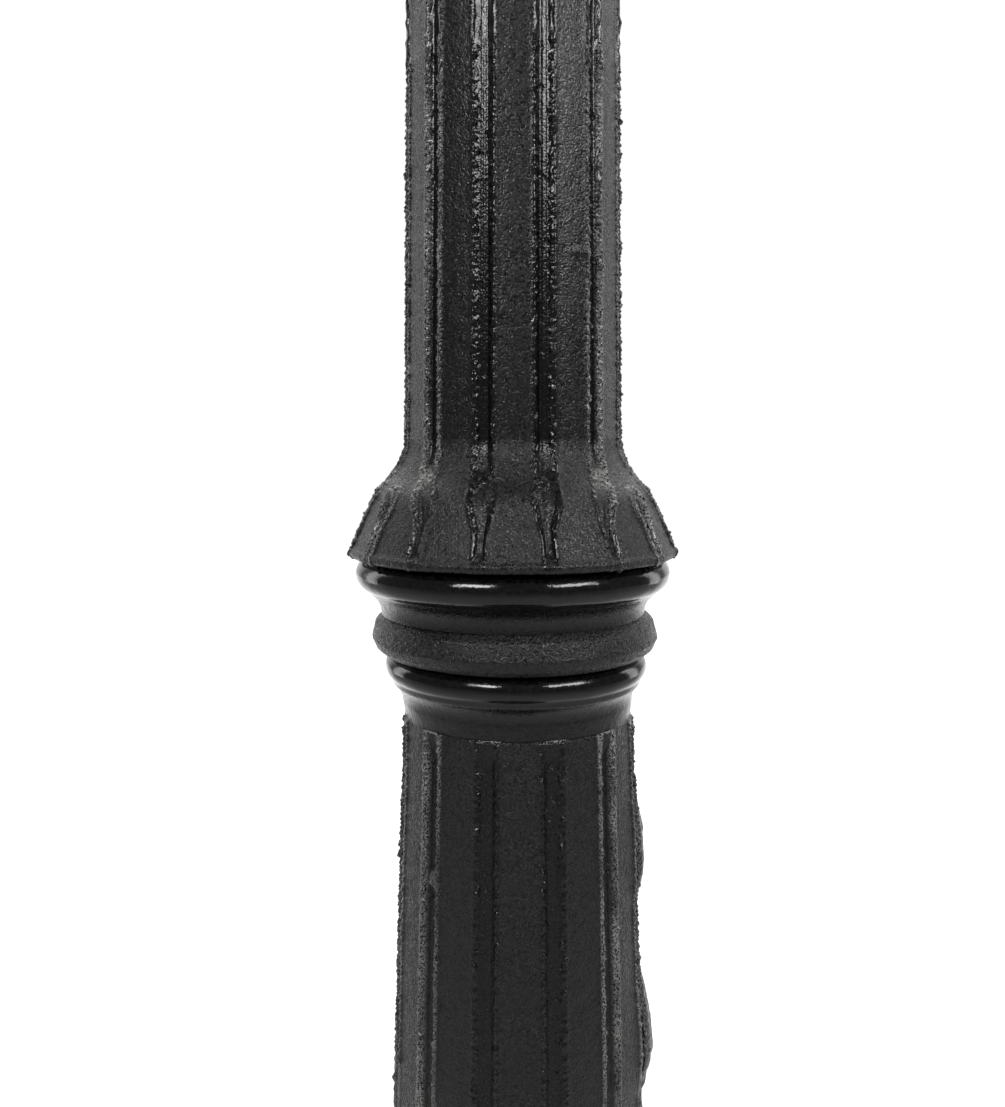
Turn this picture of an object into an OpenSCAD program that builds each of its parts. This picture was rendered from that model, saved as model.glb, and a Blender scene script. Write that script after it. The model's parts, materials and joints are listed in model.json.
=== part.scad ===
// Double-dial street clock on a fluted cast iron post.
// Millimetres, +Z up, origin on the ground under the post's axis. The front dial faces -Y.

/* [Post] */
// Height of the joint between the two shaft castings
neck_z = 880; // [760:10:1100]
// Height of the underside of the capital
capital_z = 1700; // [1500:10:2000]
// Number of flutes round the post
flutes = 12; // [8:2:16]
// Radius of the upper shaft where the collar starts to flare
shaft_r = 39.6; // [36:0.1:48]
// Radius that the upper shaft gains for each millimetre down
upper_taper = 0.010; // [0:0.001:0.012]
// Radius at the top of the lower shaft
lower_r = 42.7; // [39:0.1:52]
// Radius that the lower shaft gains for each millimetre down
lower_taper = 0.030; // [0.010:0.001:0.040]
// Depth of a flute on the shafts
flute_depth = 2.8; // [1.5:0.1:4]
// Share of a flute's pitch that its groove takes up on the shafts
flute_share = 0.21; // [0.16:0.01:0.4]
// Radius of the hole down the upper shaft
upper_bore_r = 20; // [14:0.5:24]
// Radius of the socket in the top of the lower shaft
socket_r = 30; // [26:0.5:33]
// Depth of the socket in the top of the lower shaft
socket_h = 62; // [40:1:80]

/* [Collar] */
// Radius over the petals
petal_r = 60.4; // [54:0.2:68]
// Height over which the shaft flares out to the petals
flare_h = 38.5; // [30:0.5:46]
// Depth of the gap between two petals at their rim
petal_gap = 5; // [3:0.1:9]
// Share of the pitch that the gap takes up at the rim
gap_share = 0.13; // [0.1:0.01:0.3]
// Height of the petals' underside above the neck joint
rim_h = 21.2; // [18:0.2:26]
// Radius over the upper roll
upper_roll_r = 58.5; // [54:0.1:62]
// Radius of the upper roll's own section
upper_roll_t = 6.2; // [5:0.1:8]
// Radius at the neck joint
neck_r = 49.2; // [46:0.1:52]
// Radius over the band below the neck joint
band_r = 53.4; // [51:0.1:56]
// Height of the band with its slope
band_h = 14; // [10:0.5:18]
// Radius over the lower roll
lower_roll_r = 49; // [46:0.1:52]
// Radius of the lower roll's own section
lower_roll_t = 5; // [4:0.1:6]

/* [Base] */
// Radius of the plinth
plinth_r = 200; // [190:1:230]
// Height of the plinth
plinth_h = 45; // [38:1:60]
// Thickness of the plinth's flange
flange_t = 16; // [12:1:22]
// Radius of the raised middle of the plinth
riser_r = 152; // [140:1:156]
// Wall thickness of the base castings
base_wall = 9; // [7:0.5:11]
// Diameter of the circle through the anchor holes
anchor_pcd = 346; // [340:1:360]
// Radius of an anchor hole
anchor_r = 7; // [5:0.5:9]
// Height of the top of the bell
bell_top_z = 330; // [280:5:380]
// Radius of the bell at its foot
bell_r = 138; // [125:1:140]
// Radius of the bell below its top moulding
bell_neck_r = 66; // [63:1:74]
// Depth of the gaps between the bell's petals at the foot
bell_gap = 9; // [5:0.5:12]

/* [Capital] */
// Height of the capital
capital_h = 96; // [88:1:120]
// Radius of the capital's petals at the top
capital_r = 66; // [60:1:72]
// Radius of the plate on top of the capital
abacus_r = 78; // [76:1:90]
// Thickness of the plate on top of the capital
abacus_t = 14; // [12:1:18]

/* [Tie rod] */
// Radius of the tie rod
rod_r = 8; // [6:1:10]

/* [Clock head] */
// Outer radius of the drum
drum_r = 215; // [205:1:260]
// Wall thickness of the drum
drum_wall = 5; // [4:0.5:7]
// Half the depth of the drum
drum_half = 60; // [60:1:80]
// Height of the saddle under the drum
saddle_h = 54; // [50:1:80]
// Half the length of the saddle's arm
arm_half = 100; // [94:1:110]
// Thickness of the saddle's arm
arm_t = 14; // [12:1:18]
// Thickness of the drum's foot at its thinnest
foot_t = 12; // [10:1:16]
// Size of the side scrolls
scroll_size = 97; // [80:1:104]
// Size of the crest scrolls
crest_size = 52; // [40:1:60]
// Height of the finial above its crown
finial_h = 104; // [80:1:140]

/* [Bezel] */
// Radius that the bezel stands out past the drum's wall
bezel_over = 7; // [5:0.5:9]
// Depth of the bezel
bezel_depth = 31.5; // [31:0.5:40]
// Visible radius of the dial inside the bezel
sight_r = 196; // [188:0.5:199]
// Thickness of the glass
glass_t = 4; // [3:0.5:5]
// Radius of a hinge pin
hinge_pin_r = 3; // [2.5:0.1:4]

/* [Dial and hands] */
// Thickness of a dial
dial_t = 2.5; // [1.5:0.5:3]
// Length of an hour hand
hour_hand_l = 118; // [90:1:130]
// Length of a minute hand
minute_hand_l = 172; // [150:1:180]
// Hour shown at rest
shown_hour = 10; // [0:1:11]
// Minute shown at rest
shown_minute = 9; // [0:1:59]

/* [Movement] */
// Gear module
gear_m = 1; // [1:0.05:1.1]
// Teeth on the motor pinion
drive_teeth = 12; // [12:1:14]
// Teeth on the centre wheel
centre_teeth = 60; // [56:1:62]
// Clearance cut from each side of a tooth
backlash = 0.1; // [0.06:0.01:0.15]
// Radius of the centre arbor and of the gear studs
arbor_r = 2; // [1.5:0.1:2.5]
// Radial clearance of a shaft in its hole
running = 0.06; // [0.03:0.01:0.09]

/* [Hidden] */
$fn = 96;
PRESSURE = 25;
SEAT = 0.3;
HEX_HEAD = 1.85;
PITCH = 360 / flutes;
HALF_PITCH = PITCH / 2;
GROOVE_STEPS = [-1, -0.85, -0.5, 0, 0.5, 0.85, 1];

// Castings, from the ground up
rim_lip = 4.5;
flare_top = rim_h + rim_lip + flare_h;
neck_hollow = 9.4;
shoulder_hollow = 9;
lower_flute_top = neck_z - 38;
lower_flute_foot = bell_top_z + 26;
upper_length = capital_z - neck_z;
upper_top_r = shaft_r - upper_taper * (upper_length - flare_top);
spigot_r = socket_r - SEAT;
spigot_h = socket_h - 4;
boss_r = 36;
boss_h = 8;
core_foot_r = 44;
bell_deck_t = 16;
bell_rim_z = plinth_h + 36;
bell_roll_t = 12;
bell_top_roll_t = 8;
bell_moulding_h = 30;
bolt_r = 5;
base_bolt_ring = 104;
base_flange_t = 12;
plinth_deck_t = 12;
deck_hole_r = 80;
cap_spigot_r = 24;
cap_spigot_h = 36;
recess_r = 27;
recess_h = 32;
washer_r = 20;
washer_t = 4;
nut_r = 13.9;
nut_h = 13;
rod_low = bell_top_z - bell_deck_t - washer_t - nut_h - 6;
rod_high = capital_z + capital_h - recess_h + washer_t + nut_h + 5;

// Clock head
saddle_z = capital_z + capital_h;
arm_z = saddle_z + saddle_h - arm_t;
saddle_top = saddle_z + saddle_h;
saddle_plate_t = 10;
saddle_plate_r = 72;
saddle_waist_r = 32;
capital_bolt_ring = 58;
foot_half = 62;
foot_depth = 32;
foot_screw_r = 4;
arm_depth = 38;
arm_corner_r = 12;
gusset_t = 12;
gusset_end = arm_half - 20;
gusset_low = 14;
drum_z = saddle_top + foot_t + drum_r;
crown_z = drum_z + drum_r + 10;
crown_h = 30;
stud_r = 6;
stud_sink = 7;
bead = 4;
bead_w = 9;
flange_inner_r = sight_r - 6;
dial_r = drum_r - drum_wall - 4;
dial_back = drum_half - 3;
dial_face = dial_back + dial_t;
dial_screw_ring = sight_r + 4;
dial_screw_r = 1.6;
bezel_r = drum_r + bezel_over;
bezel_back = drum_half + 0.5;
bezel_front = bezel_back + bezel_depth;
bezel_inner_r = sight_r + 9.2;
lip_t = 8;
glass_front = bezel_front - lip_t - 0.2;
glass_back = glass_front - glass_t;
glass_r = bezel_inner_r - 0.7;
gasket_t = 5;
hinge_x = bezel_r + 9;
knuckle_r = hinge_pin_r + 3.5;
knuckle_half = 14.5;
knuckle_gap = 0.5;
hinge_half = 32;
lock_x = drum_r + 17;
lug_end = drum_r + 29;
lug_half = 11;
lug_t = 11.5;
lock_screw_r = 3;
screw_gap = 0.3;

// Side and crest scrolls
scroll_turn = 480;
scroll_step = 16;
scroll_d = 16;
scroll_coil = 0.28 * scroll_size;
scroll_low = [arm_half + 0.21 * scroll_size + 4.5, arm_z + arm_t / 2];
scroll_high = circle_meet(scroll_low, scroll_size * sqrt(2), [0, drum_z], drum_r + scroll_coil + 7.5);
scroll_tilt = atan2(scroll_high[1] - scroll_low[1], scroll_high[0] - scroll_low[0]);
scroll_side = atan2(scroll_high[1] - drum_z, scroll_high[0]);
tab_screw_x = arm_half - 10;
tab_screw_r = 3;
tab_t = 8;
pad_half = 12;
pad_over = 3;
pad_d = scroll_d + pad_over;
crest_turn = 320;
crest_d = 12;
crest_pad_d = crest_d + pad_over;
crest_block_half = 56;
crest_screw_x = 46;
crest_hole_r = 2.6;
crest_pad = 9;
crest_high = [crest_screw_x + 9, crown_z + crest_pad + 0.24 * crest_size];
crest_low = circle_meet([0, drum_z], drum_r + 0.27 * crest_size + 2, crest_high, crest_size * sqrt(2));
crest_tilt = atan2(crest_low[1] - crest_high[1], crest_low[0] - crest_high[0]);

// Movement stack, measured outwards from the middle of the drum
motor_low = 3;
back_plate_low = 22;
plate_t = 2;
pillar_h = 12;
back_plate_high = back_plate_low + plate_t;
front_plate_low = back_plate_high + pillar_h;
front_plate_high = front_plate_low + plate_t;
centre_wheel_low = back_plate_high + 3;
wheel_t = 3;
layer_a = front_plate_high + 2;
layer_b = layer_a + wheel_t + 1;
cannon_tube_r = 3.5;
hour_tube_r = 5;
hour_seat = dial_face + 1.5;
minute_seat = hour_seat + 5.8;
arbor_end = minute_seat + 6;
thread_r = arbor_r + 0.5;
cannon_teeth = 15;
minute_teeth = 3 * cannon_teeth;
pinion_teeth = 0.8 * cannon_teeth;
hour_teeth = 4 * pinion_teeth;
drive_x = gear_m * (drive_teeth + centre_teeth) / 2;
motion_y = -gear_m * (cannon_teeth + minute_teeth) / 2;
movement_w = 132;
movement_h = 104;
movement_y = -11;
pillar_x = 57;
pillar_y = 43;
pillar_r = 4;
dial_foot_x = 44;
dial_foot_y = 35;
dial_foot_r = 3;
movement_screw_r = 1.5;
motor_r = 23;
motor_ear = 27;
battery_x = -41;
battery_r = 7.25;
battery_l = 50;
hour_angle = shown_hour * 30 + shown_minute / 2;
minute_angle = shown_minute * 6;

IRON = [0.05, 0.05, 0.055];
STEEL = [0.70, 0.71, 0.72];
BRASS = [0.80, 0.65, 0.30];
ENAMEL = [0.95, 0.94, 0.90];
BLUED = [0.06, 0.07, 0.12];
PLASTIC = [0.22, 0.23, 0.25];

// ---------- shared geometry ----------

function mix(a, b, t) = a + (b - a) * t;
function smooth(t) = t * t * (3 - 2 * t);

// Points along an arc round a centre, from one angle to the other.
function arc(centre, r, from, to, steps = 8) =
    [for (i = [0 : steps]) let (a = mix(from, to, i / steps)) centre + r * [cos(a), sin(a)]];

// The right-hand one of the two points where two circles in a plane cross.
function circle_meet(p, rp, q, rq) =
    let (d = norm(q - p), along = (rp * rp - rq * rq + d * d) / (2 * d), u = (q - p) / d)
    p + along * u + sqrt(rp * rp - along * along) * [u[1], -u[0]];

// Depth of a groove across its width, 1 in the middle and 0 at both edges.
function groove(u) = abs(u) < 1 ? pow(1 - u * u, 0.6) : 0;

// A flat is half way between an arc and a straight face.
function land_bulge(a) = (1 + 1 / cos(a)) / 2;

// One ring of points round a fluted section at height z: land is the radius over the flats, deep the
// depth of the grooves and share the part of each pitch that a groove takes up.
function fluted_ring(z, land, deep, share) =
    [for (i = [0 : flutes - 1], u = concat(GROOVE_STEPS, [1 / share]))
        let (t = u * share * HALF_PITCH,
             r = land * land_bulge(HALF_PITCH - abs(t)) - deep * groove(u),
             a = (i + 0.5) * PITCH + t)
        [r * cos(a), r * sin(a), z]];

// A solid through a stack of rings, lowest first, closed by a fan at each end.
module loft(rings) {
    count = len(rings[0]);
    last = len(rings) - 1;
    low = [0, 0, rings[0][0][2]];
    high = [0, 0, rings[last][0][2]];
    foot = count * (last + 1);
    polyhedron(
        points = concat([for (ring = rings) each ring], [low, high]),
        faces = concat(
            [for (k = [0 : count - 1]) [foot, k, (k + 1) % count]],
            [for (k = [0 : count - 1]) [foot + 1, last * count + (k + 1) % count, last * count + k]],
            [for (j = [0 : last - 1], k = [0 : count - 1])
                let (a = j * count + k, b = j * count + (k + 1) % count)
                each [[a, a + count, b + count], [a, b + count, b]]]));
}

module up(z) {
    translate([0, 0, z]) children();
}

module roll(r, t, z) {
    up(z) rotate_extrude() translate([r - t, 0]) circle(t, $fn = 32);
}

module hex_bolt(r, length) {
    up(-length) cylinder(r = r, h = length);
    cylinder(r = r * HEX_HEAD, h = r * 1.2, $fn = 6);
}

module pan_screw(r, length, head_r) {
    up(-length) cylinder(r = r, h = length);
    cylinder(r1 = head_r, r2 = head_r * 0.8, h = head_r * 0.6);
}

module ring_of(count, r, turn = 0) {
    for (i = [0 : count - 1]) rotate([0, 0, turn + i * 360 / count]) translate([r, 0, 0]) children();
}

// A flat plate with its four corners cut off.
module chamfered(w, h, cut, t) {
    x = w / 2;
    y = h / 2;
    linear_extrude(t) polygon([[-x, cut - y], [cut - x, -y], [x - cut, -y], [x, cut - y],
        [x, y - cut], [x - cut, y], [cut - x, y], [-x, y - cut]]);
}

// Children are drawn facing the viewer of a dial: x to the viewer's right, y up and z towards the viewer.
module at_front() {
    up(drum_z) rotate([90, 0, 0]) children();
}

module at_rear() {
    rotate([0, 0, 180]) at_front() children();
}

// ---------- base ----------

module base_plinth() {
    color(IRON) difference() {
        rotate_extrude() polygon(concat(
            [[0, 0], [plinth_r, 0]],
            arc([plinth_r - 6, flange_t - 6], 6, 0, 90),
            arc([riser_r + 6, flange_t + 6], 6, 270, 180),
            [[riser_r, plinth_h - 4], [riser_r - 4, plinth_h], [0, plinth_h]]));
        up(-1) cylinder(r = riser_r - base_wall - 3, h = plinth_h - plinth_deck_t + 1);
        cylinder(r = deck_hole_r, h = plinth_h + 1);
        ring_of(4, anchor_pcd / 2, 45) up(-1) cylinder(r = anchor_r, h = flange_t + 2);
        ring_of(6, base_bolt_ring) cylinder(r = bolt_r + SEAT, h = plinth_h + 1);
    }
}

// Radius of the bell over its petals, with t from 0 at the rim to 1 at the top moulding.
function bell_land(t) = mix(bell_r, bell_neck_r, 1 - pow(1 - t, 2.2));

module base_bell() {
    top = bell_top_z - bell_moulding_h;
    steps = 9;
    flange_r = riser_r - 6;
    rim_r = riser_r - 14;
    color(IRON) difference() {
        union() {
            up(plinth_h) cylinder(r = flange_r, h = 10);
            roll(riser_r - 3, bell_roll_t, plinth_h + 18);
            up(plinth_h + 8) cylinder(r = rim_r, h = bell_rim_z - plinth_h - 8);
            loft(concat(
                [fluted_ring(bell_rim_z - 2, bell_r - 4, bell_gap * 0.6, gap_share)],
                [for (i = [0 : steps]) let (t = i / steps)
                    fluted_ring(mix(bell_rim_z + 2, top, t), bell_land(t),
                        mix(bell_gap, flute_depth, sqrt(t)), mix(gap_share, flute_share, t))]));
            roll(bell_neck_r + 9, bell_top_roll_t, top + 6);
            up(top) cylinder(r = bell_neck_r + 2, h = bell_top_z - top);
            up(bell_top_z - 1) cylinder(r = boss_r - SEAT, h = boss_h + 1);
        }
        rotate_extrude() polygon(concat(
            [[0, plinth_h + base_flange_t], [rim_r - base_wall, plinth_h + base_flange_t],
             [rim_r - base_wall - 4, bell_rim_z - 4]],
            [for (i = [0 : steps]) let (t = i / steps)
                [bell_land(t) - bell_gap - base_wall, mix(bell_rim_z + 2, bell_top_z - bell_deck_t, t)]],
            [[0, bell_top_z - bell_deck_t]]));
        up(plinth_h - 1) cylinder(r = deck_hole_r, h = base_flange_t + 2);
        up(bell_top_z - bell_deck_t - 1) cylinder(r = rod_r + 1, h = bell_deck_t + boss_h + 3);
        ring_of(6, base_bolt_ring) up(plinth_h - 1)
            cylinder(r = bolt_r + SEAT, h = base_flange_t + 2);
    }
}

module base_bolts() {
    grip = plinth_deck_t + base_flange_t;
    color(STEEL) ring_of(6, base_bolt_ring) up(plinth_h - plinth_deck_t)
        rotate([180, 0, 0]) hex_bolt(bolt_r, grip - 1);
}

// ---------- post ----------

function lower_land(z) = lower_r + lower_taper * (lower_flute_top - z);

// A ring of the lower shaft at height z, its grooves cut to a share of their full depth.
function lower_ring(z, cut) = fluted_ring(z, lower_land(z), flute_depth * cut, flute_share);

module lower_shaft() {
    foot_r = lower_land(lower_flute_foot);
    color(IRON) difference() {
        union() {
            loft([
                lower_ring(lower_flute_foot - 4, 0),
                lower_ring(lower_flute_foot, 0.1),
                lower_ring(lower_flute_foot + 4, 0.7),
                lower_ring(lower_flute_foot + 12, 1),
                lower_ring(lower_flute_top - 10, 1),
                lower_ring(lower_flute_top - 3, 0.7),
                lower_ring(lower_flute_top, 0.1)]);
            up(bell_top_z) cylinder(r1 = foot_r + 5, r2 = foot_r - 1, h = 24);
            roll(foot_r + 9, 7, bell_top_z + 9);
            up(bell_top_z) cylinder(r = foot_r + 6, h = 4);
            up(neck_z) lower_collar();
        }
        up(bell_top_z - 1) cylinder(r = boss_r, h = boss_h + 2);
        up(bell_top_z + boss_h) cylinder(r1 = core_foot_r, r2 = socket_r - 2,
            h = neck_z - socket_h - bell_top_z - boss_h);
        up(neck_z - socket_h) cylinder(r = socket_r, h = socket_h + 1);
    }
}

// Band, roll and hollow at the top of the lower shaft, below the joint at z = 0.
module lower_collar() {
    roll_z = -lower_roll_t - band_h - 0.6;
    shoulder = roll_z - lower_roll_t * 0.8;
    foot_z = lower_flute_top - neck_z - 2;
    rotate_extrude() polygon(concat(
        [[0, 0], [neck_r, 0], [neck_r + 2.4, -2], [band_r, -band_h * 0.4], [band_r, -band_h * 0.7],
         [band_r - 1.2, -band_h * 0.86], [band_r - 3.8, -band_h], [lower_roll_r - 3, -band_h - 2.6],
         [lower_roll_r - 3, shoulder]],
        arc([lower_r + shoulder_hollow + 0.6, shoulder - shoulder_hollow], shoulder_hollow, 130, 180),
        [[lower_r - 0.6, foot_z], [0, foot_z]]));
    roll(lower_roll_r, lower_roll_t, roll_z);
}

// The flare: flats swell from the shaft into petals while the grooves between them deepen and narrow.
// The outline is part way between a smooth swelling and a straight cone.
function flare_ring(t) =
    fluted_ring(mix(flare_top, rim_h + rim_lip, t), mix(shaft_r, petal_r, mix(smooth(t), t, 0.35)),
        mix(flute_depth, petal_gap, t * t), mix(flute_share, gap_share, smooth(t)));

module upper_shaft() {
    steps = 9;
    top_deep = flute_depth * 0.9;
    color(IRON) difference() {
        union() {
            up(neck_z) {
                upper_collar();
                loft(concat(
                    [fluted_ring(rim_h, petal_r - 3.8, petal_gap * 0.5, gap_share),
                     fluted_ring(rim_h + 0.5, petal_r - 2.2, petal_gap * 0.7, gap_share),
                     fluted_ring(rim_h + 1.9, petal_r - 0.6, petal_gap * 0.9, gap_share)],
                    [for (i = [steps : -1 : 0]) flare_ring(i / steps)],
                    [fluted_ring(upper_length, upper_top_r, top_deep, flute_share)]));
            }
            up(neck_z - spigot_h) cylinder(r = spigot_r, h = spigot_h + 1);
            up(capital_z - 1) cylinder(r = cap_spigot_r, h = cap_spigot_h + 1);
        }
        up(neck_z - spigot_h - 1) cylinder(r = upper_bore_r,
            h = spigot_h + upper_length + cap_spigot_h + 2);
    }
}

// Roll and hollow between the petals and the joint at z = 0.
module upper_collar() {
    roll_z = rim_h - upper_roll_t;
    core_r = upper_roll_r - upper_roll_t;
    rotate_extrude() polygon(concat(
        [[0, 0]],
        arc([neck_r + neck_hollow, 0], neck_hollow, 180, 125),
        [[core_r, roll_z - upper_roll_t + 1], [core_r + 2, roll_z], [core_r + 2, rim_h + 1], [0, rim_h + 1]]));
    roll(upper_roll_r, upper_roll_t, roll_z);
}

// ---------- capital and tie rod ----------

module capital() {
    petal_low = 14;
    petal_high = capital_h - abacus_t - 8;
    steps = 6;
    color(IRON) up(capital_z) difference() {
        union() {
            cylinder(r = upper_top_r + 1, h = petal_low + 1);
            roll(upper_top_r + 6, 5.5, 6);
            loft(concat(
                [for (i = [0 : steps]) let (t = i / steps)
                    fluted_ring(mix(petal_low, petal_high, t), mix(upper_top_r + 1.5, capital_r, pow(t, 1.7)),
                        mix(flute_depth, petal_gap, t * t), mix(flute_share, gap_share, t))],
                [fluted_ring(petal_high + 3, capital_r - 2, petal_gap * 0.6, gap_share)]));
            up(petal_high + 2) cylinder(r1 = capital_r - 8, r2 = abacus_r - 6, h = 7);
            up(capital_h - abacus_t) rotate_extrude() polygon(concat(
                [[0, 0]],
                arc([abacus_r - 4, 4], 4, 270, 360, 5),
                [[abacus_r, abacus_t - 3], [abacus_r - 3, abacus_t], [0, abacus_t]]));
        }
        up(-1) cylinder(r = cap_spigot_r + SEAT, h = cap_spigot_h + 2);
        cylinder(r = rod_r + 1, h = capital_h);
        up(capital_h - recess_h) cylinder(r = recess_r, h = recess_h + 1);
        ring_of(4, capital_bolt_ring, 45) up(capital_h - abacus_t)
            cylinder(r = bolt_r + 0.2, h = abacus_t + 1);
    }
}

module tie_rod() {
    color(STEEL) up(rod_low) cylinder(r = rod_r, h = rod_high - rod_low);
}

module tie_rod_nuts() {
    color(STEEL) for (z = [bell_top_z - bell_deck_t - washer_t - nut_h, saddle_z - recess_h + washer_t])
        up(z) difference() {
            cylinder(r = nut_r, h = nut_h, $fn = 6);
            up(-1) cylinder(r = rod_r + 0.1, h = nut_h + 2);
        }
}

module tie_rod_washers() {
    color(STEEL) for (z = [bell_top_z - bell_deck_t - washer_t, saddle_z - recess_h])
        up(z) difference() {
            cylinder(r = washer_r, h = washer_t);
            up(-1) cylinder(r = rod_r + 1, h = washer_t + 2);
        }
}

// ---------- saddle and scrolls ----------

module head_saddle() {
    color(IRON) difference() {
        union() {
            up(saddle_z) rotate_extrude() polygon(concat(
                [[0, 0], [saddle_plate_r, 0], [saddle_plate_r, saddle_plate_t - 2],
                 [saddle_plate_r - 2, saddle_plate_t]],
                arc([saddle_waist_r + 10, saddle_plate_t + 10], 10, 270, 180),
                [[saddle_waist_r, saddle_h - arm_t + 1], [0, saddle_h - arm_t + 1]]));
            saddle_arm();
            for (side = [0, 1]) mirror([side, 0, 0]) saddle_gusset();
        }
        ring_of(4, capital_bolt_ring, 45) up(saddle_z - 1)
            cylinder(r = bolt_r + SEAT, h = saddle_plate_t + 2);
        up(saddle_z - 1) cylinder(r = rod_r + 6, h = 12);
        foot_bolt_places() up(arm_z - 1) cylinder(r = foot_screw_r + SEAT, h = arm_t + 2);
        for (side = [-1, 1]) translate([side * tab_screw_x, 0, arm_z - 1])
            cylinder(r = tab_screw_r + SEAT, h = arm_t + 2);
    }
}

// The flat arm that carries the drum's foot and the side scrolls, with rounded corners.
module saddle_arm() {
    x = arm_half - arm_corner_r;
    y = arm_depth - arm_corner_r;
    up(arm_z) linear_extrude(arm_t) polygon([for (k = [0 : 3])
        each arc([k % 3 == 0 ? x : -x, k < 2 ? y : -y], arm_corner_r, 90 * k, 90 * k + 90, 5)]);
}

// A curved rib under one half of the arm, from the waist outwards.
module saddle_gusset() {
    inside = saddle_waist_r - 2;
    foot = arm_z - gusset_low - 12;
    rotate([90, 0, 0]) linear_extrude(gusset_t, center = true) polygon(concat(
        [[inside, foot], [inside, arm_z + 1], [gusset_end, arm_z + 1], [gusset_end, arm_z - 4]],
        [for (k = [1 : 5]) let (a = 18 * k)
            [mix(inside, gusset_end, cos(a)), mix(foot, arm_z - 4, 1 - sin(a))]]));
}

module foot_bolt_places() {
    for (x = [-1, 1], y = [-1, 1]) translate([x * (foot_half - 14), y * (foot_depth - 10), 0]) children();
}

module capital_bolts() {
    color(STEEL) ring_of(4, capital_bolt_ring, 45) up(saddle_z + saddle_plate_t)
        hex_bolt(bolt_r, saddle_plate_t + abacus_t - 3);
}

module saddle_bolts() {
    color(STEEL) foot_bolt_places() up(arm_z) rotate([180, 0, 0])
        hex_bolt(foot_screw_r, arm_t + foot_t);
}

// Turning of a scroll's centre line after k equal steps, and the length that gives it.
function scroll_angle(k) = k * scroll_step;
function scroll_reach(k) = sqrt(scroll_angle(k) / 90);
function scroll_heading(k) = [sin(scroll_angle(k)), cos(scroll_angle(k))];

// Points along one arm of a scroll whose curvature grows evenly from the middle, at unit size.
function scroll_arm(steps) =
    [for (k = 0, p = [0, 0]; k <= steps;
          p = p + (scroll_reach(k + 1) - scroll_reach(k)) * scroll_heading(k + 0.5),
          k = k + 1)
        p];

// Outline of one arm's band, wide at the middle of the scroll and narrow at its eye.
function scroll_band(size, steps, wide, thin) =
    let (path = scroll_arm(steps))
    concat(
        [for (k = [0 : steps]) let (a = scroll_angle(k), h = mix(wide, thin, k / steps))
            size * path[k] + h * [-cos(a), sin(a)]],
        [for (k = [steps : -1 : 0]) let (a = scroll_angle(k), h = mix(wide, thin, k / steps))
            size * path[k] + h * [cos(a), -sin(a)]]);

// A double scroll in a plane, its two eyes on a line at 45 degrees.
module scroll(size, turn, wide, thin, eye, depth) {
    steps = turn / scroll_step;
    arm = scroll_band(size, steps, wide, thin);
    tip = size * scroll_arm(steps)[steps];
    linear_extrude(depth, center = true)
        polygon([for (side = [1, -1], i = [0 : len(arm) - 2]) side * arm[i]]);
    for (side = [-1, 1]) translate([side * tip[0], side * tip[1], 0])
        cylinder(r = eye, h = depth + pad_over, center = true);
}

module bracket() {
    middle = (scroll_low + scroll_high) / 2;
    difference() {
        union() {
            translate([middle[0], 0, middle[1]]) rotate([90, 0, 0]) rotate([0, 0, scroll_tilt - 45])
                scroll(scroll_size, scroll_turn, 5.5, 2.8, 6.5, scroll_d);
            translate([tab_screw_x - tab_t - 2, -pad_d / 2, arm_z])
                cube([arm_half - tab_screw_x + 2 * tab_t + 2, pad_d, arm_t + tab_t]);
            up(drum_z) rotate([0, -scroll_side, 0])
                translate([drum_r - 6, -pad_d / 2, -pad_half]) cube([17, pad_d, 2 * pad_half]);
        }
        up(drum_z) rotate([90, 0, 0]) cylinder(r = drum_r + SEAT, h = 2 * drum_half, center = true);
        translate([0, -scroll_d, saddle_z]) cube([arm_half, 2 * scroll_d, saddle_h]);
        translate([tab_screw_x, 0, saddle_top - 1]) cylinder(r = tab_screw_r + 0.2, h = tab_t + 2);
        bracket_drill(tab_screw_r + 0.2);
    }
}

// Children are drawn along +Z, which points out of the drum through the pad of the right-hand scroll.
module through_pad() {
    up(drum_z) rotate([0, -scroll_side, 0]) rotate([0, 90, 0]) children();
}

module bracket_drill(r) {
    through_pad() up(drum_r - drum_wall - 1) cylinder(r = r, h = drum_wall + 9);
}

module bracket_left() {
    color(IRON) mirror([1, 0, 0]) bracket();
}

module bracket_right() {
    color(IRON) bracket();
}

module bracket_screws() {
    color(STEEL) for (side = [0, 1]) mirror([side, 0, 0]) {
        translate([tab_screw_x, 0, arm_z]) rotate([180, 0, 0]) hex_bolt(tab_screw_r, arm_t + 7);
        through_pad() up(drum_r - drum_wall - 0.4) rotate([180, 0, 0])
            hex_bolt(tab_screw_r, drum_wall + 7);
    }
}

// ---------- drum ----------

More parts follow.
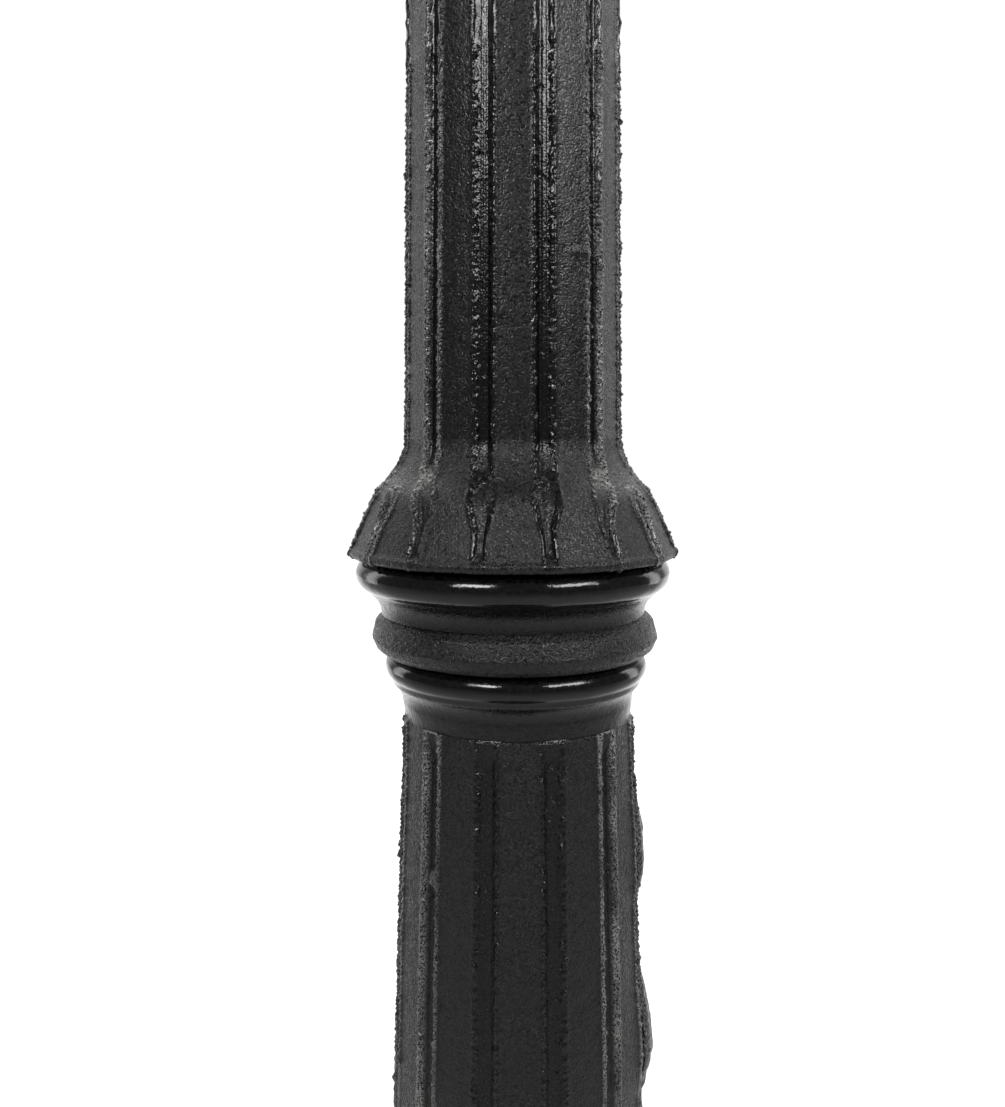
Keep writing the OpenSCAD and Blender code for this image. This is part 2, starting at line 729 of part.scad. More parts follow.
module drum_case() {
    outer = [[drum_r, drum_half - bead_w], [drum_r + bead, drum_half - 6], [drum_r + bead, drum_half - 1],
        [drum_r + bead - 1, drum_half], [dial_r + 1, drum_half], [dial_r + 1, dial_back],
        [flange_inner_r, dial_back], [flange_inner_r, dial_back - 3], [drum_r - drum_wall, dial_back - 3]];
    last = len(outer) - 1;
    color(IRON) difference() {
        union() {
            up(drum_z) rotate([90, 0, 0]) rotate_extrude() polygon(concat(outer,
                [for (i = [last : -1 : 0]) [outer[i][0], -outer[i][1]]]));
            difference() {
                union() {
                    up(saddle_top + 20) cube([2 * foot_half, 2 * foot_depth, 40], center = true);
                    up(crown_z - 20) cube([2 * crest_block_half, 2 * foot_depth, 40], center = true);
                }
                up(drum_z) rotate([90, 0, 0])
                    cylinder(r = drum_r - 2, h = 4 * foot_depth, center = true);
            }
            at_front() drum_lugs();
            at_rear() drum_lugs();
        }
        at_front() drum_lug_holes();
        at_rear() drum_lug_holes();
        foot_bolt_places() up(saddle_top - 1) cylinder(r = foot_screw_r + 0.1, h = foot_t + 2);
        for (side = [0, 1]) mirror([side, 0, 0]) bracket_drill(tab_screw_r + SEAT);
        up(crown_z - stud_sink - 1) cylinder(r = stud_r + 0.2, h = stud_sink + 3);
        for (side = [-1, 1]) translate([side * crest_screw_x, 0, crown_z - 9])
            cylinder(r = crest_hole_r, h = 10);
    }
}

module drum_lugs() {
    knuckle_l = hinge_half - knuckle_half - knuckle_gap;
    for (y = [-hinge_half, knuckle_half + knuckle_gap]) {
        translate([-hinge_x, y, drum_half - 6.5]) cube([hinge_x - drum_r + 3, knuckle_l, 6]);
        translate([-hinge_x, y, drum_half]) rotate([-90, 0, 0]) cylinder(r = knuckle_r, h = knuckle_l);
    }
    translate([drum_r - 3, -lug_half, drum_half - 12]) cube([lug_end - drum_r + 3, 2 * lug_half, 11.7]);
}

module drum_lug_holes() {
    translate([-hinge_x, 0, drum_half]) rotate([90, 0, 0])
        cylinder(r = hinge_pin_r + 0.04, h = 3 * hinge_half, center = true);
    translate([lock_x, 0, drum_half - 20]) cylinder(r = lock_screw_r + screw_gap, h = 30);
    ring_of(4, dial_screw_ring, 45) up(dial_back - 4) cylinder(r = dial_screw_r + 0.1, h = 6);
}

// ---------- crest ----------

module crest_scroll() {
    middle = (crest_low + crest_high) / 2;
    difference() {
        union() {
            translate([middle[0], 0, middle[1]]) rotate([90, 0, 0]) rotate([0, 0, crest_tilt - 45])
                scroll(crest_size, crest_turn, 4, 2.5, 5, crest_d);
            translate([crest_screw_x - 8, -crest_pad_d / 2, crown_z - 1])
                cube([16, crest_pad_d, crest_pad + 1]);
        }
        up(drum_z) rotate([90, 0, 0]) cylinder(r = drum_r + SEAT, h = 2 * drum_half, center = true);
        translate([0, -crest_d, drum_z]) cube([crest_block_half + SEAT, 2 * crest_d, crown_z - drum_z]);
        translate([crest_screw_x, 0, crown_z - 1]) cylinder(r = crest_hole_r, h = crest_pad - 1);
    }
}

module crest_scroll_left() {
    color(IRON) mirror([1, 0, 0]) crest_scroll();
}

module crest_scroll_right() {
    color(IRON) crest_scroll();
}

module finial_crown() {
    color(IRON) up(crown_z) difference() {
        rotate_extrude() polygon(concat(
            [[0, 0], [32, 0], [32, 4]], arc([30, 8], 4, 270, 450, 10), arc([34, 20], 10, 260, 180, 6),
            [[24, 22]], arc([23, 26], 4, 270, 450, 8), [[0, crown_h]]));
        up(-1) cylinder(r = stud_r + 0.2, h = crown_h + 2);
    }
}

// A turned finial: a ball on a short stem, under a spire.
module finial() {
    ball = 17;
    ball_z = 30;
    color(IRON) up(crown_z) union() {
        up(-stud_sink) cylinder(r = stud_r, h = stud_sink + crown_h + 5);
        up(crown_h) rotate_extrude() polygon(concat(
            [[0, 0], [14, 0], [14, 3]], arc([18, 9], 9, 230, 150, 5),
            arc([0, ball_z], ball, -52, 62, 12), [[7, ball_z + 17], [10, ball_z + 20], [10, ball_z + 23]],
            [for (i = [0 : 8]) let (t = i / 8) [mix(7, 1.2, pow(t, 0.7)), mix(ball_z + 25, finial_h, t)]],
            [[0, finial_h + 0.5]]));
    }
}

// ---------- dial, bezel and glass ----------

module dial() {
    color(ENAMEL) difference() {
        union() {
            up(dial_back) cylinder(r = dial_r, h = dial_t);
            dial_foot_places() up(front_plate_high)
                cylinder(r = dial_foot_r, h = dial_back - front_plate_high + 1);
        }
        up(dial_back - 1) cylinder(r = hour_tube_r + 3, h = dial_t + 2);
        dial_foot_places() up(front_plate_high - 1) cylinder(r = movement_screw_r + 0.1, h = 9);
        ring_of(4, dial_screw_ring, 45) up(dial_back - 1)
            cylinder(r = dial_screw_r + 0.2, h = dial_t + 2);
    }
}

module dial_foot_places() {
    for (x = [-1, 1], y = [-1, 1])
        translate([x * dial_foot_x, movement_y + y * dial_foot_y, 0]) children();
}

module dial_screw_set() {
    ring_of(4, dial_screw_ring, 45) up(dial_face) pan_screw(dial_screw_r, dial_t + 2.5, 2.8);
}

module dial_screws() {
    color(STEEL) at_front() dial_screw_set();
    color(STEEL) at_rear() dial_screw_set();
}

module bezel() {
    round_r = 9;
    color(IRON) difference() {
        union() {
            rotate_extrude() polygon(concat(
                [[bezel_inner_r, bezel_back], [bezel_r - 1, bezel_back], [bezel_r, bezel_back + 1]],
                arc([bezel_r - round_r, bezel_front - round_r], round_r, 0, 90),
                arc([sight_r + 12, bezel_front - 2], 3, 60, 180, 5),
                [[sight_r + 2, bezel_front - 4], [sight_r, bezel_front - 5.5], [sight_r, bezel_front - lip_t],
                 [bezel_inner_r, bezel_front - lip_t]]));
            translate([-hinge_x, -knuckle_half, bezel_back])
                cube([hinge_x - bezel_r + 4, 2 * knuckle_half, 6]);
            translate([-hinge_x, 0, drum_half]) rotate([90, 0, 0])
                cylinder(r = knuckle_r, h = 2 * knuckle_half, center = true);
            translate([bezel_r - 4, -lug_half, bezel_back])
                cube([lug_end - bezel_r + 4, 2 * lug_half, lug_t]);
        }
        translate([-hinge_x, 0, drum_half]) rotate([90, 0, 0])
            cylinder(r = hinge_pin_r + running, h = 2 * knuckle_half + 2, center = true);
        translate([lock_x, 0, bezel_back - 1]) cylinder(r = lock_screw_r + 0.1, h = 14);
    }
}

module hinge_pin() {
    color(STEEL) translate([-hinge_x, 0, drum_half]) rotate([-90, 0, 0]) {
        up(-hinge_half - 2) cylinder(r = hinge_pin_r, h = 2 * hinge_half + 2);
        up(hinge_half) cylinder(r1 = hinge_pin_r + 2, r2 = hinge_pin_r, h = 4);
    }
}

module lock_screw() {
    head = bezel_back + lug_t;
    color(BRASS) {
        translate([lock_x, 0, drum_half - 9]) cylinder(r = lock_screw_r, h = head - drum_half + 10);
        translate([lock_x, 0, head]) cylinder(r = 7, h = 2);
        translate([lock_x, 0, head + 1]) cylinder(r = 8.5, h = 8);
    }
}

module glass() {
    color([0.8, 0.9, 0.9, 0.35]) up(glass_back) cylinder(r = glass_r, h = glass_t);
}

module gasket() {
    color(PLASTIC) up(glass_back - gasket_t - 0.1) difference() {
        cylinder(r = glass_r + 0.4, h = gasket_t);
        up(-1) cylinder(r = sight_r + 2, h = gasket_t + 2);
    }
}

// ---------- hands ----------

module hour_hand() {
    spade = hour_hand_l * 0.64;
    color(BLUED) rotate([0, 0, -hour_angle]) difference() {
        union() {
            up(hour_seat + 1) linear_extrude(1.2) {
                polygon([[-5, 0], [5, 0], [3, spade], [-3, spade]]);
                translate([0, spade]) circle(12);
                polygon([[-12.5, spade + 6], [12.5, spade + 6], [3, hour_hand_l * 0.86], [0, hour_hand_l],
                    [-3, hour_hand_l * 0.86]]);
                polygon([[-4, 0], [4, 0], [6, -26], [0, -31], [-6, -26]]);
            }
            up(hour_seat) cylinder(r = 9, h = 3.2);
        }
        up(hour_seat - 1) cylinder(r = hour_tube_r + 0.04, h = 6);
    }
}

module minute_hand() {
    tail = 42;
    color(BLUED) rotate([0, 0, -minute_angle]) difference() {
        union() {
            up(minute_seat + 0.6) linear_extrude(1.2) {
                polygon([[-4.5, 0], [4.5, 0], [2.4, minute_hand_l * 0.62], [-2.4, minute_hand_l * 0.62]]);
                translate([0, minute_hand_l * 0.62]) circle(7);
                polygon([[-6, minute_hand_l * 0.62 + 3], [6, minute_hand_l * 0.62 + 3],
                    [1.6, minute_hand_l * 0.86], [0, minute_hand_l], [-1.6, minute_hand_l * 0.86]]);
                polygon([[-3, 0], [3, 0], [5, 8 - tail], [-5, 8 - tail]]);
                translate([0, 6 - tail]) circle(8);
            }
            up(minute_seat) cylinder(r = 7, h = 2.4);
        }
        up(minute_seat - 1) cylinder(r = thread_r + 0.03, h = 5);
    }
}

module hand_nut() {
    low = minute_seat + 2.4;
    color(BRASS) up(low) difference() {
        union() {
            cylinder(r = 6, h = 2);
            up(1) cylinder(r1 = 5, r2 = 3.4, h = 5);
        }
        up(-1) cylinder(r = thread_r + 0.04, h = arbor_end - low + 1.3);
    }
}

// ---------- gears ----------

// Polar angle of an involute off a base circle at radius r.
function involute(base, r) = let (t = sqrt(max(r * r / (base * base) - 1, 0))) t * 180 / PI - atan(t);

// Outline of a spur gear with a tooth centred on the x axis.
function gear_points(teeth) =
    let (pitch_r = gear_m * teeth / 2,
         base_r = pitch_r * cos(PRESSURE),
         root_r = pitch_r - 1.25 * gear_m,
         start_r = max(base_r, root_r + 0.3 * gear_m),
         half = 90 / teeth - backlash / pitch_r * 180 / PI + involute(base_r, pitch_r),
         flank = [for (r = [start_r, (start_r + pitch_r) / 2, pitch_r, pitch_r + gear_m])
             [r, half - involute(base_r, r)]],
         root = [root_r, mix(flank[0][1], 180 / teeth, 0.15)])
    [for (i = [0 : teeth - 1])
        let (a = i * 360 / teeth)
        each concat(
            [root[0] * [cos(a - root[1]), sin(a - root[1])]],
            [for (p = flank) p[0] * [cos(a - p[1]), sin(a - p[1])]],
            [for (k = [len(flank) - 1 : -1 : 0]) let (p = flank[k]) p[0] * [cos(a + p[1]), sin(a + p[1])]],
            [root[0] * [cos(a + root[1]), sin(a + root[1])]])];

// A gear turned so that a tooth, or with gap = true a gap, points along an angle.
module gear(teeth, thick, towards, gap = false) {
    rotate([0, 0, towards + (gap ? 180 / teeth : 0)]) linear_extrude(thick) polygon(gear_points(teeth));
}

module centre_arbor() {
    color(BRASS) difference() {
        union() {
            up(back_plate_low - 1) cylinder(r = arbor_r, h = layer_a - back_plate_low + 2);
            up(centre_wheel_low) gear(centre_teeth, wheel_t, 0);
            up(back_plate_high + 0.6) cylinder(r = 5, h = front_plate_low - back_plate_high - 1.2);
            up(layer_a) gear(cannon_teeth, wheel_t, -90);
            up(layer_a + 1) cylinder(r = cannon_tube_r, h = minute_seat - layer_a - 1);
            up(minute_seat - 1) cylinder(r = thread_r, h = arbor_end - minute_seat + 1);
        }
        ring_of(5, centre_teeth * gear_m * 0.29) up(centre_wheel_low - 1)
            cylinder(r = centre_teeth * gear_m * 0.12, h = wheel_t + 2);
    }
}

module motor_pinion() {
    color(STEEL) translate([drive_x, 0, 0]) {
        up(back_plate_low - 9) cylinder(r = arbor_r, h = centre_wheel_low - back_plate_low + 9.5);
        up(centre_wheel_low - 0.5) gear(drive_teeth, wheel_t + 1, 180, gap = true);
    }
}

module minute_wheel() {
    color(BRASS) translate([0, motion_y, 0]) difference() {
        union() {
            up(layer_a) gear(minute_teeth, wheel_t, 90, gap = true);
            up(layer_a + 1) gear(pinion_teeth, layer_b + wheel_t - layer_a - 1, 90);
        }
        up(layer_a - 1) cylinder(r = arbor_r + running, h = layer_b + wheel_t - layer_a + 2);
        ring_of(4, minute_teeth * gear_m * 0.32, 45) up(layer_a - 1)
            cylinder(r = minute_teeth * gear_m * 0.1, h = wheel_t + 2);
    }
}

module hour_wheel() {
    color(BRASS) difference() {
        union() {
            up(layer_b) gear(hour_teeth, wheel_t, -90, gap = true);
            up(layer_b + 1) cylinder(r = hour_tube_r, h = hour_seat + 3.4 - layer_b - 1);
        }
        up(layer_b - 1) cylinder(r = cannon_tube_r + running, h = hour_seat + 6 - layer_b);
        ring_of(5, hour_teeth * gear_m * 0.32) up(layer_b - 1)
            cylinder(r = hour_teeth * gear_m * 0.1, h = wheel_t + 2);
    }
}

// ---------- movement ----------

module pillar_places() {
    for (x = [-1, 1], y = [-1, 1]) translate([x * pillar_x, movement_y + y * pillar_y, 0]) children();
}

module back_plate() {
    color(BRASS) difference() {
        union() {
            translate([0, movement_y, back_plate_low]) chamfered(movement_w, movement_h, 6, plate_t);
            pillar_places() up(back_plate_low + 1)
                cylinder(r = pillar_r, h = front_plate_low - back_plate_low - 1);
        }
        up(back_plate_low - 1) cylinder(r = arbor_r + running, h = plate_t + 2);
        translate([drive_x, 0, back_plate_low - 1]) cylinder(r = arbor_r + 3, h = plate_t + 2);
        motor_screw_places() up(back_plate_low - 1)
            cylinder(r = movement_screw_r + 0.1, h = plate_t + 2);
        pillar_places() up(front_plate_low - 7) cylinder(r = movement_screw_r + 0.1, h = 8);
    }
}

module motor_screw_places() {
    for (y = [-1, 1]) translate([drive_x, y * motor_ear, 0]) children();
}

module front_plate() {
    color(BRASS) difference() {
        union() {
            translate([0, movement_y, front_plate_low]) chamfered(movement_w, movement_h, 6, plate_t);
            translate([0, motion_y, front_plate_low + 1]) {
                cylinder(r = arbor_r + 1.5, h = layer_a - front_plate_low - 1.3);
                cylinder(r = arbor_r, h = layer_b + wheel_t - front_plate_low);
            }
        }
        up(front_plate_low - 1) cylinder(r = arbor_r + running, h = plate_t + 2);
        for (side = [-1, 1]) translate([side * drive_x, 0, front_plate_low - 1])
            cylinder(r = 10, h = plate_t + 2);
        pillar_places() up(front_plate_low - 1)
            cylinder(r = movement_screw_r + 0.2, h = plate_t + 2);
        dial_foot_places() up(front_plate_low - 1)
            cylinder(r = movement_screw_r + 0.2, h = plate_t + 2);
    }
}

module motor() {
    color(PLASTIC) difference() {
        union() {
            translate([drive_x, 0, motor_low]) cylinder(r = motor_r, h = back_plate_low - motor_low);
            translate([drive_x, 0, back_plate_low - 3]) chamfered(16, 2 * motor_ear + 10, 4, 3);
        }
        translate([drive_x, 0, back_plate_low - 10]) cylinder(r = arbor_r + running, h = 11);
        motor_screw_places() up(back_plate_low - 4)
            cylinder(r = movement_screw_r + 0.2, h = 5);
    }
}

module battery_holder() {
    wall = 2.5;
    depth = 2 * battery_r + 3;
    well_x = 2 * battery_r + 1;
    well_y = battery_l + 2;
    color(PLASTIC) translate([battery_x, 0, back_plate_low]) difference() {
        translate([-well_x / 2 - wall, -well_y / 2 - wall, -depth])
            cube([well_x + 2 * wall, well_y + 2 * wall, depth]);
        translate([-well_x / 2, -well_y / 2, -depth - 1]) cube([well_x, well_y, depth - 1]);
    }
}

module battery() {
    axis_z = back_plate_low - battery_r - 2.2;
    color(STEEL) translate([battery_x, -battery_l / 2 + 0.6, axis_z]) rotate([-90, 0, 0]) {
        cylinder(r = battery_r, h = battery_l - 1);
        up(battery_l - 2) cylinder(r = 2.7, h = 2.2);
    }
}

module movement_screw_set() {
    pillar_places() up(front_plate_high) pan_screw(movement_screw_r, plate_t + 5, 2.8);
    dial_foot_places() up(front_plate_low) rotate([180, 0, 0])
        pan_screw(movement_screw_r, plate_t + 6, 2.8);
    motor_screw_places() up(back_plate_high) pan_screw(movement_screw_r, plate_t + 2, 2.5);
}

module movement_screws() {
    color(STEEL) at_front() movement_screw_set();
    color(STEEL) at_rear() movement_screw_set();
}

base_plinth();
base_bell();
base_bolts();
lower_shaft();
upper_shaft();
capital();
tie_rod();
tie_rod_nuts();
tie_rod_washers();
head_saddle();
capital_bolts();
saddle_bolts();
bracket_left();
bracket_right();
bracket_screws();
drum_case();
crest_scroll_left();
crest_scroll_right();
finial_crown();
finial();
dial_screws();
movement_screws();
at_front() dial();  // front_dial
at_front() bezel();  // front_bezel
at_front() glass();  // front_glass
at_front() gasket();  // front_gasket
at_front() hinge_pin();  // front_hinge_pin
at_front() lock_screw();  // front_lock_screw
at_front() hour_hand();  // front_hour_hand
at_front() minute_hand();  // front_minute_hand
at_front() hand_nut();  // front_hand_nut
at_front() back_plate();  // front_back_plate
at_front() front_plate();  // front_front_plate
at_front() motor();  // front_motor
at_front() motor_pinion();  // front_motor_pinion
at_front() centre_arbor();  // front_centre_arbor
at_front() minute_wheel();  // front_minute_wheel
at_front() hour_wheel();  // front_hour_wheel
at_front() battery_holder();  // front_battery_holder
at_front() battery();  // front_battery
at_rear() dial();  // rear_dial
at_rear() bezel();  // rear_bezel
at_rear() glass();  // rear_glass
at_rear() gasket();  // rear_gasket
at_rear() hinge_pin();  // rear_hinge_pin
at_rear() lock_screw();  // rear_lock_screw
at_rear() hour_hand();  // rear_hour_hand
at_rear() minute_hand();  // rear_minute_hand
at_rear() hand_nut();  // rear_hand_nut
at_rear() back_plate();  // rear_back_plate
at_rear() front_plate();  // rear_front_plate
at_rear() motor();  // rear_motor
at_rear() motor_pinion();  // rear_motor_pinion
at_rear() centre_arbor();  // rear_centre_arbor
at_rear() minute_wheel();  // rear_minute_wheel
at_rear() hour_wheel();  // rear_hour_wheel
at_rear() battery_holder();  // rear_battery_holder
at_rear() battery();  // rear_battery
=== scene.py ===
"""Street clock: detailed castings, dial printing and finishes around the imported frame."""

import json
import math

import bpy
import numpy as np
from mathutils import Matrix, Vector


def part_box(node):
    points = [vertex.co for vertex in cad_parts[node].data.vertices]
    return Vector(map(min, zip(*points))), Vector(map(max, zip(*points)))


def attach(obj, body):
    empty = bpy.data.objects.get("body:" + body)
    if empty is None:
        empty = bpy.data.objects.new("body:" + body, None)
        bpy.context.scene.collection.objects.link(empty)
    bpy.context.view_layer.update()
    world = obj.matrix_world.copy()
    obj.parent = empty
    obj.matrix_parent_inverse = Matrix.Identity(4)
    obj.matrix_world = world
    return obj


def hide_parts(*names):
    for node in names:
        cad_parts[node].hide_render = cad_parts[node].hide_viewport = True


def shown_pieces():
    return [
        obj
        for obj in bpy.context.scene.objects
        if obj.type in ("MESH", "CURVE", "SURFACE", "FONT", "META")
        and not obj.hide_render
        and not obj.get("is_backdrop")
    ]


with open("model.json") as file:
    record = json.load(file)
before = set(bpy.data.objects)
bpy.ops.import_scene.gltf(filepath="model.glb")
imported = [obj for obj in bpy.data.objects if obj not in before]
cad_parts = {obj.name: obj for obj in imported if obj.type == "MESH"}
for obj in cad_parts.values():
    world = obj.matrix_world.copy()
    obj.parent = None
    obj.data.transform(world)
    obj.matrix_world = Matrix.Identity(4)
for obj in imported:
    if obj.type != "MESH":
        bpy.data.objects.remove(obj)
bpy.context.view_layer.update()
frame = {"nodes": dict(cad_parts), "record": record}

MM = 0.001
TURN = 2 * math.pi

# ---------- sizes of the post's castings, in millimetres unless said otherwise ----------
FLUTES = 12
COLUMNS = 60 * FLUTES
SHAFT_R = 39.6
SHAFT_TAPER = 0.010
LOWER_R = 42.7
LOWER_TAPER = 0.030
FLUTE_DEEP = 1.8
FLUTE_DEGREES = 10.5
PETALS = 16
PETAL_COLUMNS = 72 * PETALS
PETAL_R = 60.4
GAP_DEEP = 1.4
GAP_DEGREES = 4.2
RIM_Z = 21.2
RIM_LIP = 4.5
FLARE_H = 38.5
FLARE_TOP = RIM_Z + RIM_LIP + FLARE_H
NECK_R = 49.2
NECK_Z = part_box("lower_shaft")[1].z / MM
FOOT_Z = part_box("lower_shaft")[0].z / MM
CAPITAL_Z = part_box("capital")[0].z / MM
# The photograph shows the two shafts a little off one another's axis.
UPPER_ASIDE = -0.6
LOWER_ASIDE = 1.5
# Spacing of the rows of the petals, of the shafts near the collar over the fine lengths, and beyond them.
PETAL_ROW = 0.66
SHAFT_ROW = 0.52
COARSE_ROW = 2.4
UPPER_FINE = 132
LOWER_FINE = 130
# Each lump's degrees from the front, height over the neck joint, width in degrees, length and lift.
SPILLS = [(88, -94, 16, 13, 3.6), (88, -166, 16, 14, 5.0)]
DRIPS = [(-43.5, -91, 2.6, 2.4, 1.3), (36, 127, 5.0, 0.9, 0.7), (-37, -96, 3.0, 1.2, 0.6),
         (21, 78, 1.0, 1.6, 0.5)]
SEAM_DEGREES = 88

# ---------- sizes of the dial's printing, in millimetres ----------
TRACK_R = 178.5
TRACK_WIDTH = 10
INNER_CIRCLE_R = 122
NUMERAL_R = 131
INK = 0.08
INK_STEP = 0.02


# ---------- numbers ----------

def mix(a, b, t):
    """The value between a and b at t, from 0 to 1."""
    return a + (b - a) * t


def smooth(t):
    """0 below 0, 1 above 1 and an even step between."""
    t = np.clip(t, 0.0, 1.0)
    return t * t * (3 - 2 * t)


def scrambled(cells, seed):
    """A repeatable number from -1 to 1 for each whole-numbered cell."""
    mixed = cells[..., 0] * 374761393 + cells[..., 1] * 668265263 + cells[..., 2] * 912271 + seed * 144269
    mixed = ((mixed ^ (mixed >> 13)) * 1274126177) & 0xFFFFFFFF
    mixed = ((mixed ^ (mixed >> 15)) * 2246822519) & 0xFFFFFFFF
    return ((mixed >> 8) & 0xFFFF) / 32767.5 - 1


def noise(points, size, seed=0):
    """Smooth noise from about -1 to 1, with lumps about as wide as size."""
    place = points / size
    cell = np.floor(place).astype(np.int64)
    part = place - cell
    fade = part ** 3 * (part * (part * 6 - 15) + 10)
    total = np.zeros(points.shape[:-1])
    for corner in np.ndindex(2, 2, 2):
        step = np.array(corner)
        weight = np.prod(np.where(step, fade, 1 - fade), axis=-1)
        away = part - step
        slope = sum(scrambled(cell + step, seed * 3 + k) * away[..., k] for k in range(3))
        total += weight * slope
    return total * 1.5


# ---------- meshes ----------

def new_piece(name, mesh, body, nodes=()):
    """Links a mesh as a piece that rides a body, and hides the CAD nodes it stands in for."""
    piece = bpy.data.objects.new(name, mesh)
    bpy.context.scene.collection.objects.link(piece)
    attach(piece, body)
    if nodes:
        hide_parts(*nodes)
    return piece


def grid_mesh(name, points, normals, attributes=(), hollow=False):
    """Quads through rings of points (rows, columns, 3) in metres: a tube capped by fans, or with
    hollow a shell whose last ring joins its first."""
    rows, columns = points.shape[:2]
    cells = np.arange(rows * columns).reshape(rows, columns)
    after = np.roll(cells, -1, axis=1)
    low, high = (cells, np.roll(cells, -1, axis=0)) if hollow else (cells[:-1], cells[1:])
    quads = np.stack([low, np.roll(low, -1, axis=1), np.roll(high, -1, axis=1), high], axis=-1).reshape(-1, 4)
    extra = 0 if hollow else 2
    floor = np.stack([np.full(columns, rows * columns), after[0], cells[0]], axis=-1)
    roof = np.stack([np.full(columns, rows * columns + 1), cells[-1], after[-1]], axis=-1)
    fans = np.concatenate([floor, roof])[:columns * extra]
    loops = np.concatenate([quads.ravel(), fans.ravel()])
    sizes = np.concatenate([np.full(len(quads), 4), np.full(len(fans), 3)])
    middles = points.mean(axis=1)[[0, -1]][:extra]
    mesh = bpy.data.meshes.new(name)
    mesh.vertices.add(rows * columns + extra)
    mesh.vertices.foreach_set("co", np.concatenate([points.reshape(-1, 3), middles]).ravel())
    mesh.loops.add(len(loops))
    mesh.loops.foreach_set("vertex_index", loops)
    mesh.polygons.add(len(sizes))
    mesh.polygons.foreach_set("loop_start", np.concatenate([[0], np.cumsum(sizes)[:-1]]))
    mesh.polygons.foreach_set("use_smooth", np.repeat([True, False], [len(quads), len(fans)]))
    for label, values in attributes:
        layer = mesh.attributes.new(label, "FLOAT", "POINT")
        layer.data.foreach_set("value", np.concatenate([values.ravel(), np.zeros(extra)]))
    mesh.update(calc_edges=True)
    capped = np.concatenate([normals.reshape(-1, 3), np.zeros((extra, 3))])
    mesh.normals_split_custom_set_from_vertices(capped)
    return mesh


# ---------- fluted castings ----------

def angles(columns, grooves=FLUTES):
    """Angles round the post, closer together in and beside the grooves."""
    pitch = TURN / grooves
    place = np.arange(columns // grooves) * grooves / columns
    inner, share = 0.5, 0.34
    near = np.minimum(place, 1 - place)
    wide = share / 2 + (near - inner / 2) * (1 - share) / (1 - inner)
    spread = np.where(near < inner / 2, near * share / inner, wide)
    spread = np.where(place <= 0.5, spread, 1 - spread)
    return ((np.arange(grooves)[:, None] + 0.5 + spread[None, :]) * pitch).ravel()


def groove_places(drift):
    """Middles of the grooves in degrees from the front and the back, and how open each is: at drift 0
    the shaft's flutes, at drift 1 the gaps between the petals, the third of which opens on the way."""
    flutes = np.array([15.0, 45.0, 60.0, 75.0])
    gaps = (np.arange(4) + 0.5) * 360 / PETALS
    return mix(flutes, gaps, drift), np.array([1.0, 1.0, smooth(2.4 * drift - 1.2), 1.0])


def fluted(turn, land, deep, width, level=0.3, drift=0.0, sheen=0.0, clear=1.0):
    """Radius, groove mask and sandiness at each angle: nearly flat lands with grooves width degrees
    wide, level over the given share of it, glossy on their far lips as sheen says and open as clear says."""
    aside = np.abs((np.degrees(turn) + 180) % 180 - 90)
    middles, opened = groove_places(drift)
    opened = opened * clear
    beyond = aside[:, None] - middles
    away = np.abs(beyond)
    near = smooth(0.5 - np.take_along_axis(beyond, away.argmin(axis=1)[:, None], 1)[:, 0])
    reach = away / (width / 2)
    from_groove = (away + 40 * (1 - opened)).min(axis=1)
    half_pitch = mix(180 / FLUTES, 180 / PETALS, drift)
    bulge = (1 + 1 / np.cos(np.radians(np.maximum(half_pitch - from_groove, 0)))) / 2
    rise = np.clip((reach - level) / (1 - level), 0, 1)
    hollow = (opened * (1 - mix(rise, smooth(rise), 0.35))).max(axis=1)
    mask = (opened * (1 - smooth((reach - level) / (1.35 - level)))).max(axis=1)
    ridge = (opened * np.exp(-((reach - 1) / 0.28) ** 2)).max(axis=1) * min(deep, 1)
    lip = mix(0.4, mix(0.08, 0.5, near * smooth((aside - 18) / 12)), sheen)
    floor = mix(0.45, 0.85, smooth((land - SHAFT_R) / 2))
    sandy = mix(mix(1.0, lip, smooth(mask * 4)), floor, smooth(mask * 2 - 0.9))
    return land * bulge - deep * hollow + mix(0.25, 0.55, sheen) * ridge, mask, sandy


def rings(turn, profile):
    """Stacks (height, land, depth, width, ...) rows into grids of radius, height, mask and sandiness."""
    radius, mask, sandy = (np.array(layer) for layer in zip(*[fluted(turn, *row[1:]) for row in profile]))
    height = np.array([row[0] for row in profile])[:, None] * np.ones_like(turn)[None, :]
    return radius, height, mask, sandy


def spun(turn, *runs):
    """A turned surface as the same grids, from runs of (radius, height) points, each with its sandiness."""
    rows = np.array([(*point, sandy) for points, sandy in runs for point in points])
    radius, height, sandy = (rows[:, k:k + 1] * np.ones_like(turn)[None, :] for k in range(3))
    return radius, height, np.zeros_like(radius), sandy


def stack(*grids):
    """One grid of each kind from several that follow one another."""
    return [np.concatenate(layer) for layer in zip(*grids)]


def respaced(grids, step):
    """The same surface with rows about one step apart along its steepest outline."""
    run = np.hypot(np.diff(grids[0], axis=0), np.diff(grids[1], axis=0)).max(axis=1)
    place = np.concatenate([[0], np.cumsum(run)])
    wanted = np.linspace(0, place[-1], max(2, int(round(place[-1] / step)) + 1))
    index = np.clip(np.searchsorted(place, wanted, side="right") - 1, 0, len(place) - 2)
    share = ((wanted - place[index]) / np.maximum(place[index + 1] - place[index], 1e-9))[:, None]
    return [layer[index] * (1 - share) + layer[index + 1] * share for layer in grids]


def arc(centre, r, start, end, steps=24):
    """Points on an arc in the outline plane, from one angle to the other in degrees."""
    turn = np.radians(np.linspace(start, end, steps + 1))
    return np.stack([centre[0] + r * np.cos(turn), centre[1] + r * np.sin(turn)], axis=-1)


